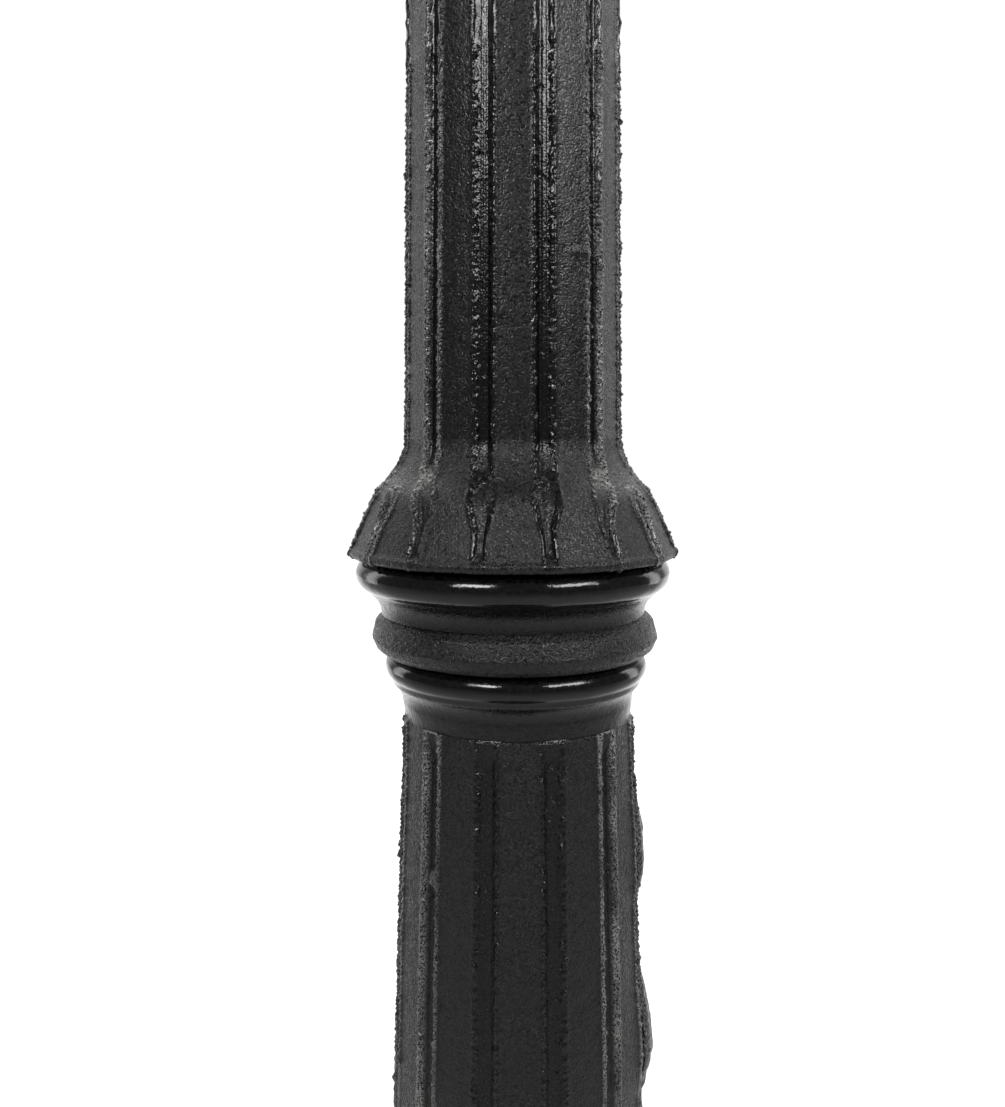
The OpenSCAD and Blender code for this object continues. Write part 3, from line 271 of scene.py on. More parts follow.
def sand(points, mask, sandy):
    """Height of the casting's skin in millimetres: waves, sand, crusted groove edges, beads and pits."""
    edge = smooth(mask * 6) * (1 - smooth((mask - 0.6) / 0.4)) * smooth(sandy * 2.4)
    aside = np.abs(points[..., 0]) / np.hypot(points[..., 0], points[..., 1])
    side = smooth((aside - 0.93) * 16) * sandy
    waves = 0.20 * noise(points, 30, 1) + 0.07 * noise(points, 9, 2) + 0.03 * noise(points, 4.5, 10)
    grain = 0.05 * noise(points, 2.6, 3) + 0.05 * noise(points, 1.3, 4)
    crust = 0.26 * noise(points, 3.8, 5) + 0.24 * noise(points, 1.7, 6)
    climb = 1 - (points[..., 2] / 2.0 + 1.3 * noise(points, 5, 9)) % 1
    ledges = mix(0.20, 0.65, smooth(aside * 3 - 1)) * climb
    beads = 0.50 * smooth((noise(points, 2.2, 8) - 0.26) * 4) + ledges
    pits = -0.40 * smooth((noise(points, 2.6, 7) - 0.45) * 5)
    pitted = mix(0.25 * sandy, 1.0, mask) * pits
    return waves + sandy * grain + (edge + 0.35 * side) * crust + edge * beads + pitted


def flash(points):
    """Lumps left by the mould: a ragged seam down each side, the spills and the drips."""
    aside = np.degrees(np.arctan2(points[..., 0], -points[..., 1]))
    height = points[..., 2] - NECK_Z
    ragged = np.maximum(noise(points, 11, 21) + 0.25, 0) * 1.1
    seam = np.exp(-((np.abs(aside) - SEAM_DEGREES) / 2.2) ** 2) * ragged
    lumps = seam * smooth(np.abs(height + 5) / 20 - 1.4)
    for place, z, across, along, lift in SPILLS + DRIPS:
        reach = np.where(height > z, 1.7, 0.75) * along
        lumps += lift * np.exp(-((aside - place) / across) ** 2 - (np.abs(height - z) / reach) ** 3)
    return lumps


def facing(points):
    """Outward direction at each point of a grid of rings."""
    along = np.gradient(points, axis=0)
    around = np.roll(points, -1, axis=1) - np.roll(points, 1, axis=1)
    outward = np.cross(around, along)
    return outward / np.maximum(np.linalg.norm(outward, axis=-1, keepdims=True), 1e-9)


def cast_pieces(node, turn, grids, base_z, parts, aside=None, hollow=False):
    """A sand-cast surface cut into pieces, which are (name, first row, last row, column step): aside
    gives how far to the right it stands at each height."""
    radius, height, mask, sandy = grids
    points = np.stack([radius * np.cos(turn), radius * np.sin(turn), height + base_z], axis=-1)
    spills = flash(points)
    mask = mask * (1 - 0.8 * smooth(spills / 2))
    points = points + facing(points) * (sand(points, mask, sandy) + spills)[..., None]
    if aside:
        points[..., 0] += aside(height)
    outward = facing(points)
    for name, first, last, step in parts:
        rows = slice(first, last + 1)
        mesh = grid_mesh(name, points[rows, ::step] * MM, outward[rows, ::step],
                         [("groove", mask[rows, ::step]), ("sandy", sandy[rows, ::step])], hollow)
        new_piece(name, mesh, "root", [node])


def shaft_row(z):
    """One row of the upper shaft and its flare: height, then what fluted takes."""
    if z >= FLARE_TOP:
        return z, SHAFT_R - SHAFT_TAPER * (z - FLARE_TOP), FLUTE_DEEP, FLUTE_DEGREES
    t = min((FLARE_TOP - z) / FLARE_H, 1.0)
    land = mix(SHAFT_R, PETAL_R, mix(smooth(t), 0.13 + 0.8 * t, smooth(3 * t - 1)))
    above = 2 * (z - RIM_Z) / RIM_LIP - 1
    land = mix(land, PETAL_R, smooth(1 - above) if above > 0 else math.sqrt(max(1 - above ** 2, 0)))
    closing = smooth((z - RIM_Z - 3.2) / 3.5)
    deep = mix(FLUTE_DEEP, GAP_DEEP, smooth(2.2 * t)) * closing
    width = mix(FLUTE_DEGREES, GAP_DEGREES, smooth(2.5 * t - 1.15))
    arch = 1 - 0.75 * math.exp(-((t - 0.36) / 0.07) ** 2)
    return z, land, deep, width, mix(0.3, 0.4, t), smooth(1.3 * t), smooth(4 * t - 1.6), arch


def upper_aside(z):
    """How far to the right of the clock's axis the upper shaft stands."""
    return UPPER_ASIDE * np.ones_like(z)


def lower_aside(z):
    """How far to the right the lower shaft stands, nothing at its joint."""
    return LOWER_ASIDE * smooth(-z / 45)


def build_upper_collar():
    """The neck joint, the hollow and roll above it, and the petals."""
    turn = angles(PETAL_COLUMNS, PETALS)
    hollow_r = 9.4
    roll_t = 6.2
    roll_r = 58.5 - roll_t
    roll_z = RIM_Z - roll_t
    joint = ([[NECK_R, 0]], 0.8)
    hollow = (arc([NECK_R + hollow_r, 0], hollow_r, 180, 125, 16), 0.6)
    roll = (arc([roll_r, roll_z], roll_t, -62, 80, 30), 0.1)
    low = respaced(spun(turn, joint, hollow, roll, ([[roll_r, RIM_Z]], 0.5)), 0.7)
    lip = [RIM_Z + RIM_LIP * (1 - math.cos(a)) / 2 for a in np.linspace(0, math.pi, 16)]
    slope = np.linspace(RIM_Z + RIM_LIP, FLARE_TOP, 60)[1:]
    flare = respaced(rings(turn, [shaft_row(z) for z in [*lip, *slope]]), PETAL_ROW)
    flare[3] = flare[3] * 1.4
    over = rings(turn, [shaft_row(FLARE_TOP + z) for z in (0.5, 1.0)])
    waist = len(low[0])
    seam = waist + len(flare[0]) - 1
    cast_pieces("upper_shaft", turn, stack(low, flare, over), NECK_Z,
                [("collar_casting", 0, waist, 1), ("petal_casting", waist, seam, 1)], upper_aside)


def build_upper_shaft():
    """The fluted shaft above the petals, finer near them."""
    fine_top = FLARE_TOP + UPPER_FINE
    length = CAPITAL_Z - NECK_Z
    heights = np.concatenate([FLARE_TOP + np.arange(-2, 0) * SHAFT_ROW,
                              np.arange(FLARE_TOP, fine_top, SHAFT_ROW),
                              np.arange(fine_top, length, COARSE_ROW), [length]])
    change = int(np.searchsorted(heights, fine_top))
    half = change // 2
    turn = angles(COLUMNS)
    cast_pieces("upper_shaft", turn, rings(turn, [shaft_row(z) for z in heights]), NECK_Z,
                [("upper_shaft_casting", 2, half, 1), ("upper_shaft_middle", half, change, 1),
                 ("upper_shaft_top", change, len(heights) - 1, 3)], upper_aside)


def build_lower_shaft():
    """The fluted lower shaft and the roll, band and joint on top of it."""
    turn = angles(COLUMNS)
    flute_top = -38.0
    band_r, band_h = 53.4, 14.0
    roll_r, roll_t = 49.0, 5.0
    roll_z = -roll_t - band_h - 0.6
    shoulder = roll_z - roll_t * 0.8
    hollow = (arc([LOWER_R + 9.6, shoulder - 9], 9, 180, 130, 12), 0.5)
    roll = (arc([roll_r - roll_t, roll_z], roll_t, -50, 70, 24), 0.1)
    band = ([[band_r - 3.8, -band_h], [band_r - 1.4, -band_h * 0.86], [band_r, -band_h * 0.62],
             [band_r - 1.4, -band_h * 0.20], [NECK_R + 0.6, -0.6], [NECK_R - 0.4, 0]], 1.5)
    collar = respaced(spun(turn, ([[LOWER_R - 0.2, flute_top]], 0.6), hollow, roll, band), 0.6)
    foot = FOOT_Z - NECK_Z
    fine_low = flute_top - LOWER_FINE
    heights = np.concatenate([[foot], np.arange(fine_low, foot, -COARSE_ROW)[::-1],
                              np.arange(flute_top - SHAFT_ROW, fine_low, -SHAFT_ROW)[::-1]])
    shaft = rings(turn, [
        (z, LOWER_R + LOWER_TAPER * (flute_top - z), FLUTE_DEEP * smooth((flute_top - z) / 10),
         FLUTE_DEGREES) for z in heights])
    shaft = (*shaft[:3], shaft[3] * 1.6)
    change = int(np.searchsorted(heights, fine_low))
    seam = len(heights)
    half = (change + seam) // 2
    cast_pieces("lower_shaft", turn, stack(shaft, collar), NECK_Z,
                [("lower_shaft_foot", 0, change, 3), ("lower_shaft_middle", change, half, 1),
                 ("lower_shaft_casting", half, seam, 1),
                 ("neck_casting", seam, seam + len(collar[0]) - 1, 1)], lower_aside)


def build_bell():
    """The fluted bell on the plinth: flange, foot roll, petals, top roll and the hollow inside."""
    turn = angles(COLUMNS)
    low, high = (corner.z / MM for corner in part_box("base_bell"))
    foot, neck, top = low + 38, high - 38, high - 8
    wall, foot_r, neck_r, gap_deep = 18, 138, 66, 9
    open_r, rod_r, roof = 80, 9, top - 16

    def land(t):
        """Radius over the petals, from 0 at the foot to 1 at the neck."""
        return mix(foot_r, neck_r, 1 - (1 - t) ** 2.2)

    petals = rings(turn, [(foot - 2, foot_r - 2.4, 6, GAP_DEGREES)] + [
        (mix(foot, neck, t), land(t), mix(gap_deep, FLUTE_DEEP, math.sqrt(t)),
         mix(GAP_DEGREES, FLUTE_DEGREES, t)) for t in np.linspace(0, 1, 120)])
    flange = ([[open_r, low], [foot_r + 7.4, low], [foot_r + 8, low + 0.8]], 1.0)
    foot_roll = (arc([foot_r - 1, low + 18], 12, -42, 84, 24), 0.2)
    base = spun(turn, flange, foot_roll, ([[foot_r, foot - 7], [foot_r, foot - 2.2]], 1.0))
    head = spun(turn, (arc([neck_r + 1, neck + 6], 8, -62, 76, 20), 0.2),
                ([[neck_r + 2, neck + 15], [neck_r + 2, top - 1], [neck_r + 1, top], [rod_r, top]], 1.0))
    inside = [[rod_r, roof]] + [[land(t) - wall, mix(foot, roof, t)] for t in np.linspace(1, 0, 9)]
    cavity = spun(turn, (inside + [[foot_r - 9, low + 12], [open_r, low + 12]], 1.0))
    shell = stack(respaced(stack(base, petals, head), 1.9), cavity)
    cast_pieces("base_bell", turn, shell, 0, [("bell_casting", 0, len(shell[0]) - 1, 3)], hollow=True)


def build_capital():
    """The flared capital: a roll at its foot, petals and the square-edged plate on top."""
    turn = angles(COLUMNS)
    foot_r = SHAFT_R - SHAFT_TAPER * (CAPITAL_Z - NECK_Z - FLARE_TOP)
    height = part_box("capital")[1].z / MM - CAPITAL_Z
    plate = height - 14
    rim_r = 66
    petals = rings(turn, [
        (mix(14, plate - 8, t), mix(foot_r + 1.5, rim_r, t ** 1.7), mix(FLUTE_DEEP, GAP_DEEP, t * t),
         mix(FLUTE_DEGREES, GAP_DEGREES, t)) for t in np.linspace(0, 1, 60)])
    foot = spun(turn, ([[foot_r + 1, 0.2]], 0.8), (arc([foot_r + 0.5, 6], 5.5, -75, 75, 20), 0.1),
                ([[foot_r + 1, 12.5], [foot_r + 1.4, 13.8]], 0.8))
    top = spun(turn, ([[65.4, plate - 7], [63.4, plate - 5.8], [59, plate - 5.4]], 0.9),
               ([[71, plate + 0.2], [74, plate]], 0.6), (arc([74, plate + 4], 4, 270, 360, 8), 0.2),
               ([[78, height - 3], [75, height - 0.3], [40, height - 0.1]], 0.8))
    grids = respaced(stack(foot, petals, top), 1.0)
    cast_pieces("capital", turn, grids, CAPITAL_Z, [("capital_casting", 0, len(grids[0]) - 1, 2)])


# ---------- dial printing ----------

def prisms(name, outlines, thick):
    """Thin plates with the given outlines, lying on the plane y = 0 and reaching towards -Y."""
    mesh = bpy.data.meshes.new(name)
    points, faces = [], []
    for layer, outline in enumerate(outlines):
        first, count = len(points), len(outline)
        lift = thick + INK_STEP * (layer % 3)
        points += [(x, 0, z) for x, z in outline] + [(x, -lift, z) for x, z in outline]
        faces.append(tuple(range(first + count - 1, first - 1, -1)))
        faces.append(tuple(range(first + count, first + 2 * count)))
        faces += [(first + k, first + (k + 1) % count, first + count + (k + 1) % count, first + count + k)
                  for k in range(count)]
    mesh.from_pydata([Vector(p) * MM for p in points], [], faces)
    return mesh


def turned(outline, degrees, out=0.0):
    """An outline moved out along 12 o'clock and turned clockwise round the dial's middle."""
    a = math.radians(degrees)
    return [(x * math.cos(a) + (y + out) * math.sin(a), (y + out) * math.cos(a) - x * math.sin(a))
            for x, y in outline]


def bar(x, y, w, h):
    """An upright bar centred on x, standing on y."""
    return [(x - w / 2, y), (x + w / 2, y), (x + w / 2, y + h), (x - w / 2, y + h)]


def stroke(x_low, x_high, height, thick):
    """A slanted bar from x_low at its foot to x_high at its top."""
    return [(x_low - thick / 2, 0), (x_low + thick / 2, 0),
            (x_high + thick / 2, height), (x_high - thick / 2, height)]


def roman(hour):
    """The strokes of a Roman hour numeral, centred on x = 0, with the traditional IIII at four."""
    height, bold, fine, gap, serif, spread = 36, 5.2, 1.9, 9.6, 1.6, 6.4
    text = "XII I II III IIII V VI VII VIII IX X XI".split()[hour % 12]
    widths = {"I": gap, "V": 20, "X": 20}
    left = -sum(widths[letter] for letter in text) / 2
    shapes = []
    for letter in text:
        middle = left + widths[letter] / 2
        left += widths[letter]
        if letter == "I":
            shapes += [bar(middle, 0, bold, height), bar(middle, 0, gap - 1, serif),
                       bar(middle, height - serif, gap - 1, serif)]
            continue
        low = spread if letter == "X" else 0.0
        shapes += [stroke(middle + low, middle - spread, height, bold),
                   stroke(middle - low, middle + spread, height, fine)]
        feet = (-spread, spread) if letter == "X" else ()
        shapes += [bar(middle + x, 0, gap - 2.2, serif) for x in feet]
        shapes += [bar(middle + x, height - serif, gap - 2.2, serif) for x in (-spread, spread)]
    return shapes


def annulus(r, width, steps=60):
    """A thin ring as short quads."""
    edge = [[(q * math.sin(a), q * math.cos(a)) for a in np.linspace(0, TURN, steps + 1)]
            for q in (r - width / 2, r + width / 2)]
    return [[edge[0][k], edge[0][k + 1], edge[1][k + 1], edge[1][k]] for k in range(steps)]


def build_dial_print(side, turn):
    """Minute track, five-minute blocks and Roman numerals printed on a dial."""
    line, fine_line = 0.9, 0.7
    outlines = annulus(TRACK_R + TRACK_WIDTH, line) + annulus(TRACK_R, line)
    outlines += annulus(INNER_CIRCLE_R, fine_line)
    for minute in range(60):
        heavy = minute % 5 == 0
        mark = bar(0, 0, 4.2 if heavy else 1.3, TRACK_WIDTH)
        outlines.append(turned(mark, minute * 6, TRACK_R))
    for hour in range(12):
        outlines += [turned(shape, hour * 30, NUMERAL_R) for shape in roman(hour)]
    low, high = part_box(side + "_dial")
    face = max(-low.y, high.y)
    mesh = prisms(side + "_dial_print", outlines, INK)
    middle = Matrix.Translation((0, -face, (low.z + high.z) / 2))
    mesh.transform(Matrix.Rotation(turn, 4, "Z") @ middle)
    new_piece(side + "_dial_print", mesh, "root")


# ---------- materials ----------

class Tree:
    """A short way to write the node tree of a material or world."""

    def __init__(self, owner, shader):
        owner.use_nodes = True
        self.tree = owner.node_tree
        self.shader = self.tree.nodes[shader]

    def set(self, **values):
        """Sets inputs of the shader that are the same all over."""
        for label, value in values.items():
            self.shader.inputs[label.replace("_", " ")].default_value = value

    def add(self, kind, inputs=(), **settings):
        """A node with its settings, and its inputs set to values or linked to outputs."""
        node = self.tree.nodes.new(kind)
        for label, value in settings.items():
            setattr(node, label, value)
        for label, value in dict(inputs).items():
            if isinstance(value, bpy.types.NodeSocket):
                self.tree.links.new(value, node.inputs[label])
            else:
                node.inputs[label].default_value = value
        return node

    def coords(self):
        return self.add("ShaderNodeTexCoord").outputs["Object"]

    def noise(self, scale, detail=3.0, roughness=0.55, vector=None):
        return self.add("ShaderNodeTexNoise", {"Vector": vector or self.coords(), "Scale": scale,
                                               "Detail": detail, "Roughness": roughness}).outputs["Fac"]

    def ramp(self, value, low, high, start=0.0, end=1.0):
        return self.add("ShaderNodeMapRange", {"Value": value, "From Min": low, "From Max": high,
                                               "To Min": start, "To Max": end}).outputs["Result"]

    def math(self, operation, a, b):
        return self.add("ShaderNodeMath", {0: a, 1: b}, operation=operation).outputs[0]

    def blend(self, factor, a, b):
        """A colour between a and b."""
        node = self.add("ShaderNodeMix", data_type="RGBA")
        for index, value in ((0, factor), (6, a), (7, b)):
            if isinstance(value, bpy.types.NodeSocket):
                self.tree.links.new(value, node.inputs[index])
            else:
                node.inputs[index].default_value = value if index == 0 else (*value, 1.0)
        return node.outputs[2]

    def bump(self, height, distance, strength=1.0, normal=None):
        inputs = {"Height": height, "Distance": distance, "Strength": strength}
        if normal:
            inputs["Normal"] = normal
        return self.add("ShaderNodeBump", inputs).outputs["Normal"]

    def wire(self, label, output):
        """Links an output to the shader."""
        self.tree.links.new(output, self.shader.inputs[label])

    def seen(self):
        """1 for rays that come from the camera, straight or through glass, and 0 for the rest."""
        paths = self.add("ShaderNodeLightPath").outputs
        return self.math("MAXIMUM", paths["Is Camera Ray"], paths["Is Transmission Ray"])


class Nodes(Tree):
    """The node tree of a new material."""

    def __init__(self, name):
        self.material = bpy.data.materials.new(name)
        super().__init__(self.material, "Principled BSDF")


def black_casting():
    """Gloss black paint over sand-cast iron: lands of uneven tone with pale flecks that are painted glints,
    smoother grooves and rolls, grooves painted near black as painted shade, and crusted groove edges that
    carry a painted highlight towards the sides."""
    n = Nodes("black_casting")
    groove = n.add("ShaderNodeAttribute", attribute_name="groove").outputs["Fac"]
    sandy = n.add("ShaderNodeAttribute", attribute_name="sandy").outputs["Fac"]
    fine = n.noise(1500, 1.0, 0.5)
    medium = n.noise(650, 2.0, 0.6)
    wide = n.noise(60, 2.0, 0.5)
    tone = n.blend(n.ramp(medium, 0.42, 0.72), (0.0010, 0.0010, 0.0011), (0.0090, 0.0087, 0.0092))
    # Pale flecks on the sandiest lands are painted glints, in place of sparkle from the lights on the grain.
    painted_glints = n.math("MULTIPLY", n.ramp(fine, 0.55, 0.68), n.ramp(sandy, 1.0, 1.6, 0.0, 0.8))
    # Where the groove mask is high the colour turns near black: painted shade in the flutes and petal gaps.
    paint_with_painted_shade = n.blend(groove, n.blend(painted_glints, tone, (0.030, 0.030, 0.031)), (0.0010, 0.0010, 0.0011))
    # Groove edges towards the sides, away from the front and back, are painted pale: a painted highlight
    # standing in for reflections of the side lights, broken up by noise.
    edges = n.math("MULTIPLY", n.ramp(groove, 0.02, 0.12), n.ramp(groove, 0.7, 1.0, 1.0, 0.0))
    axes = n.add("ShaderNodeSeparateXYZ", {0: n.coords()})
    across = n.math("ABSOLUTE", axes.outputs["X"], 0.0)
    ahead = n.math("ABSOLUTE", axes.outputs["Y"], 0.0)
    slant = n.math("DIVIDE", across, ahead)
    sides = n.math("MULTIPLY", n.ramp(slant, 0.6, 0.9), n.ramp(slant, 1.5, 3.0, 1.0, 0.6))
    painted_side_highlight = n.math("MULTIPLY", n.math("MULTIPLY", edges, sides), n.ramp(fine, 0.38, 0.60))
    painted_side_highlight = n.math("MULTIPLY", painted_side_highlight, n.ramp(n.noise(45, 1.0, 0.5), 0.35, 0.60, 0.35, 1.0))
    n.wire("Base Color", n.blend(painted_side_highlight, paint_with_painted_shade, (0.25, 0.25, 0.24)))
    speckle = n.math("MULTIPLY", sandy, n.ramp(fine, 0.35, 0.65, 0.06, 0.38))
    n.wire("Roughness", n.math("ADD", n.ramp(wide, 0.3, 0.7, 0.07, 0.12), speckle))
    normal = n.bump(medium, n.ramp(sandy, 0.0, 2.0, 0.00002, 0.00030))
    n.wire("Normal", n.bump(fine, n.ramp(sandy, 0.0, 2.0, 0.00001, 0.00047), normal=normal))
    return n.material


def painted(name, grain, lumps, rough):
    """Gloss black paint over a casting: grain and lumps are the depths of its fine and coarse skin."""
    n = Nodes(name)
    fine = n.noise(1300, 1.0, 0.5)
    coarse = n.noise(170, 3.0, 0.55)
    wide = n.noise(14, 2.0, 0.5)
    dark, light = (0.0014, 0.0014, 0.0015), (0.0042, 0.0041, 0.0044)
    n.wire("Base Color", n.blend(n.ramp(coarse, 0.3, 0.7), dark, light))
    speckle = n.ramp(fine, 0.35, 0.65, 0.0, rough)
    n.wire("Roughness", n.math("ADD", n.ramp(wide, 0.3, 0.7, 0.10, 0.17), speckle))
    n.wire("Normal", n.bump(fine, grain, normal=n.bump(coarse, lumps)))
    return n.material


def steel():
    """Zinc plate: cool grey with a soft spangle, a little duller in patches."""
    n = Nodes("zinc_steel")
    n.set(Metallic=1.0)
    spangle = n.add("ShaderNodeTexVoronoi", {"Vector": n.coords(), "Scale": 420.0}).outputs["Color"]
    patch = n.noise(90, 3.0)
    n.wire("Base Color", n.blend(n.ramp(patch, 0.3, 0.7), (0.44, 0.45, 0.47), (0.62, 0.63, 0.64)))
    crystal = n.add("ShaderNodeSeparateColor", {"Color": spangle}).outputs["Red"]
    n.wire("Roughness", n.ramp(crystal, 0, 1, 0.24, 0.42))
    n.wire("Normal", n.bump(n.noise(900, 2.0), 0.00004))
    return n.material


def brass():
    """Satin brass, brushed in circles and warmed by tarnish in places."""
    n = Nodes("satin_brass")
    n.set(Metallic=1.0)
    tarnish = n.noise(55, 4.0, 0.6)
    n.wire("Base Color", n.blend(n.ramp(tarnish, 0.45, 0.75), (0.74, 0.53, 0.22), (0.42, 0.26, 0.10)))
    lines = n.add("ShaderNodeTexNoise", {"Vector": n.coords(), "Scale": 2600.0, "Detail": 1.0}).outputs["Fac"]
    n.wire("Roughness", n.ramp(tarnish, 0.35, 0.75, 0.24, 0.46))
    n.wire("Normal", n.bump(lines, 0.00002))
    return n.material


def enamel(middle):
    """Ivory enamel: glassy, faintly uneven, a shade warmer towards the rim and in cloudy patches."""
    n = Nodes("ivory_enamel")
    centre = n.add("ShaderNodeCombineXYZ", {"Z": middle}).outputs["Vector"]
    flat = n.add("ShaderNodeVectorMath", {0: n.coords(), 1: (1, 0, 1)}, operation="MULTIPLY")
    away = n.add("ShaderNodeVectorMath", {0: flat.outputs["Vector"], 1: centre}, operation="DISTANCE")
    away = away.outputs["Value"]
    cloud = n.math("ADD", n.ramp(away, 0.12, 0.21, 0.0, 0.7), n.ramp(n.noise(16, 4.0), 0.35, 0.75, 0.0, 0.5))
    colour = n.blend(cloud, (0.61, 0.59, 0.53), (0.54, 0.50, 0.41))
    speck = n.ramp(n.noise(700, 1.0), 0.74, 0.80)
    n.wire("Base Color", n.blend(speck, colour, (0.42, 0.37, 0.28)))
    n.wire("Roughness", n.ramp(n.noise(40, 2.0), 0.3, 0.7, 0.10, 0.20))
    n.wire("Normal", n.bump(n.noise(110, 2.0), 0.00003))
    return n.material


def hands_paint():
    """Satin black paint of the hands and the printed numerals, worn a little grey."""
    n = Nodes("hands_paint")
    wear = n.noise(230, 4.0, 0.6)
    n.wire("Base Color", n.blend(n.ramp(wear, 0.55, 0.8), (0.008, 0.008, 0.010), (0.035, 0.035, 0.040)))
    n.wire("Roughness", n.ramp(wear, 0.3, 0.7, 0.28, 0.42))
    n.wire("Normal", n.bump(n.noise(1200, 2.0), 0.00001))
    return n.material


def glass():
    """Flat clear glass with a trace of dust, which lets lamps through to the dial."""
    n = Nodes("clear_glass")
    n.set(Base_Color=(0.985, 1.0, 0.99, 1), Transmission_Weight=1.0, IOR=1.2)
    n.wire("Roughness", n.ramp(n.noise(9, 4.0), 0.45, 0.8, 0.0, 0.035))
    lamps = n.add("ShaderNodeLightPath").outputs["Is Shadow Ray"]
    clear = n.add("ShaderNodeBsdfTransparent")
    mixed = n.add("ShaderNodeMixShader", {0: lamps, 1: n.shader.outputs[0], 2: clear.outputs[0]})
    n.tree.links.new(mixed.outputs[0], n.tree.nodes["Material Output"].inputs["Surface"])
    return n.material


def moulded(name, dark, light, rough, texture):
    """Rubber or plastic with a fine moulded texture and slightly uneven colour."""
    n = Nodes(name)
    n.wire("Base Color", n.blend(n.ramp(n.noise(45, 4.0), 0.3, 0.7), dark, light))
    n.wire("Roughness", n.ramp(n.noise(300, 2.0), 0.3, 0.7, rough, rough + 0.12))
    n.wire("Normal", n.bump(n.noise(1400, 1.0), texture))
    return n.material


def battery_can():
    """A plain cell: a matt grey sleeve with darker bands along it."""
    n = Nodes("battery_can")
    bands = n.add("ShaderNodeTexWave", {"Vector": n.coords(), "Scale": 11.0, "Distortion": 0.0},
                  bands_direction="Z", wave_profile="SIN").outputs["Fac"]
    n.wire("Base Color", n.blend(n.ramp(bands, 0.70, 0.72), (0.30, 0.31, 0.33), (0.05, 0.05, 0.06)))
    n.wire("Roughness", n.ramp(n.noise(120, 3.0), 0.3, 0.7, 0.28, 0.40))
    return n.material


def materials():
    """The material of each slot of the record; the castings' own pieces have black_casting."""
    middle = sum(corner.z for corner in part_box("front_dial")) / 2
    return {
        "black_casting": painted("painted_casting", 0.00022, 0.00030, 0.30),
        "black_alloy": painted("painted_alloy", 0.00006, 0.00012, 0.10),
        "steel": steel(),
        "brass": brass(),
        "enamel": enamel(middle),
        "hands": hands_paint(),
        "glass": glass(),
        "rubber": moulded("black_rubber", (0.012, 0.012, 0.012), (0.028, 0.027, 0.026), 0.55, 0.00004),
        "plastic": moulded("grey_plastic", (0.030, 0.031, 0.034), (0.050, 0.051, 0.055), 0.38, 0.00006),
        "battery_can": battery_can(),
    }


# ---------- studio ----------

def studio_world():
    """Dim grey room, white behind the clock and wherever the camera looks past it."""
    world = bpy.data.worlds.new("studio")
    n = Tree(world, "Background")
    axes = n.add("ShaderNodeSeparateXYZ", {0: n.add("ShaderNodeTexCoord").outputs["Generated"]})
    aside = n.math("ABSOLUTE", axes.outputs["X"], 0.0)
    behind = n.math("SUBTRACT", axes.outputs["Y"], aside)
    level = n.add("ShaderNodeMapRange", {"Value": behind, "From Min": -0.1, "From Max": 0.38,
                                         "To Min": 0.14, "To Max": 1.03}, interpolation_type="SMOOTHSTEP")
    n.wire("Strength", n.math("MAXIMUM", level.outputs["Result"], n.seen()))
    n.set(Color=(1, 1, 1, 1))
    bpy.context.scene.world = world


def pale_floor():
    """A pale floor that fades into the white backdrop with distance."""
    half = 7.5
    corners = [(-half, -half, 0), (half, -half, 0), (half, half, 0), (-half, half, 0)]
    mesh = bpy.data.meshes.new("floor")
    mesh.from_pydata(corners, [], [(0, 1, 2, 3)])
    floor = bpy.data.objects.new("floor", mesh)
    bpy.context.scene.collection.objects.link(floor)
    floor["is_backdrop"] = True
    n = Nodes("pale_floor")
    n.set(Base_Color=(0.50, 0.50, 0.50, 1), Roughness=0.8, Emission_Color=(1, 1, 1, 1))
    away = n.add("ShaderNodeVectorMath", {0: n.coords()}, operation="LENGTH").outputs["Value"]
    axes = n.add("ShaderNodeSeparateXYZ", {0: n.coords()})
    aside = n.math("ABSOLUTE", axes.outputs["X"], 0.0)
    behind = n.ramp(n.math("SUBTRACT", axes.outputs["Y"], aside), -0.4, 0.5, 0.0, 0.9)
    shown = n.ramp(away, 0.3, 1.7, 0.26, 0.9)
    n.wire("Emission Strength", n.ramp(n.seen(), 0.0, 1.0, behind, shown))
    mesh.materials.append(n.material)


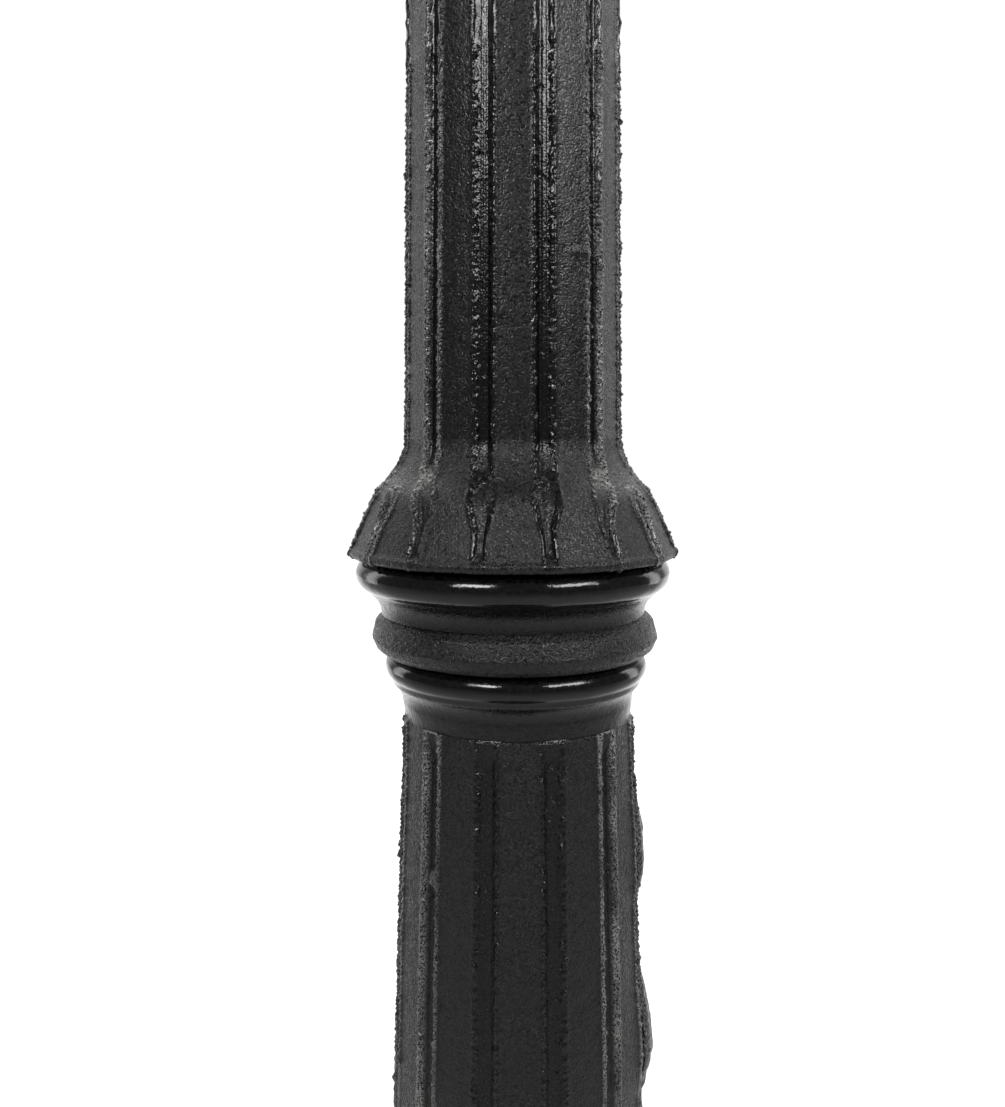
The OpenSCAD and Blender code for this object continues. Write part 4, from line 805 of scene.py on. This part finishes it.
def soft_box(name, centre, azimuth, elevation, distance, size, radiance):
    """A soft box facing centre, out of the camera's sight; angles in degrees, azimuth 0 in front."""
    a, e = math.radians(azimuth), math.radians(elevation)
    away = Vector((math.sin(a) * math.cos(e), -math.cos(a) * math.cos(e), math.sin(e)))
    light = bpy.data.lights.new(name, "AREA")
    light.shape = "RECTANGLE"
    light.size, light.size_y = size
    light.energy = radiance * math.pi * size[0] * size[1]
    lamp = bpy.data.objects.new(name, light)
    lamp.location = Vector(centre) + away * distance
    lamp.rotation_mode = "QUATERNION"
    lamp.rotation_quaternion = away.to_track_quat("Z", "Y")
    lamp.visible_camera = False
    bpy.context.scene.collection.objects.link(lamp)


def lights():
    """Two key boxes, a rim light at each side behind, a weak top box and a wide one over the backdrop."""
    collar = (0, 0, (NECK_Z + RIM_Z) * MM)
    soft_box("left_box", collar, -30, 31, 1.5, (0.54, 0.34), 16)
    soft_box("right_box", collar, 47, 31, 1.5, (0.78, 0.34), 12.5)
    soft_box("left_rim", collar, -120, 12, 1.8, (0.45, 1.6), 2.2)
    soft_box("right_rim", collar, 120, 12, 1.8, (0.45, 1.6), 2.2)
    soft_box("top_box", collar, 0, 66, 2.6, (1.0, 0.6), 0.6)
    soft_box("backdrop_box", (0, 5.0, 0), 0, 90, 5.0, (9.0, 8.0), 2.2)


def camera():
    """Close in front of the post, level with the top of the flare and looking slightly down."""
    data = bpy.data.cameras.new("camera")
    data.sensor_width = 36
    data.lens = 32.3
    data.shift_y = -0.05
    data.clip_start = 0.01
    data.clip_end = 60
    view = bpy.data.objects.new("camera", data)
    distance, tilt = 0.372, 3.4
    view.location = (-0.0044, -distance, (NECK_Z + FLARE_TOP) * MM)
    view.rotation_euler = (math.radians(90 - tilt), 0, 0)
    bpy.context.scene.collection.objects.link(view)
    bpy.context.scene.camera = view


def finish_pieces():
    """Gives every piece and shown CAD node its material."""
    finishes = materials()
    casting = black_casting()
    slots = {row["node"]: row["material_slot"] for row in frame["record"]["subparts"]}
    for name, node in frame["nodes"].items():
        node.data.materials.clear()
        node.data.materials.append(finishes[slots[name]])
    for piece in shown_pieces():
        if not piece.data.materials:
            printed = piece.name.endswith("_print")
            piece.data.materials.append(finishes["hands"] if printed else casting)


bpy.context.scene.view_settings.view_transform = "Standard"
camera()
studio_world()
pale_floor()
lights()
build_bell()
build_lower_shaft()
build_upper_collar()
build_upper_shaft()
build_capital()
build_dial_print("front", 0.0)
build_dial_print("rear", math.pi)
finish_pieces()
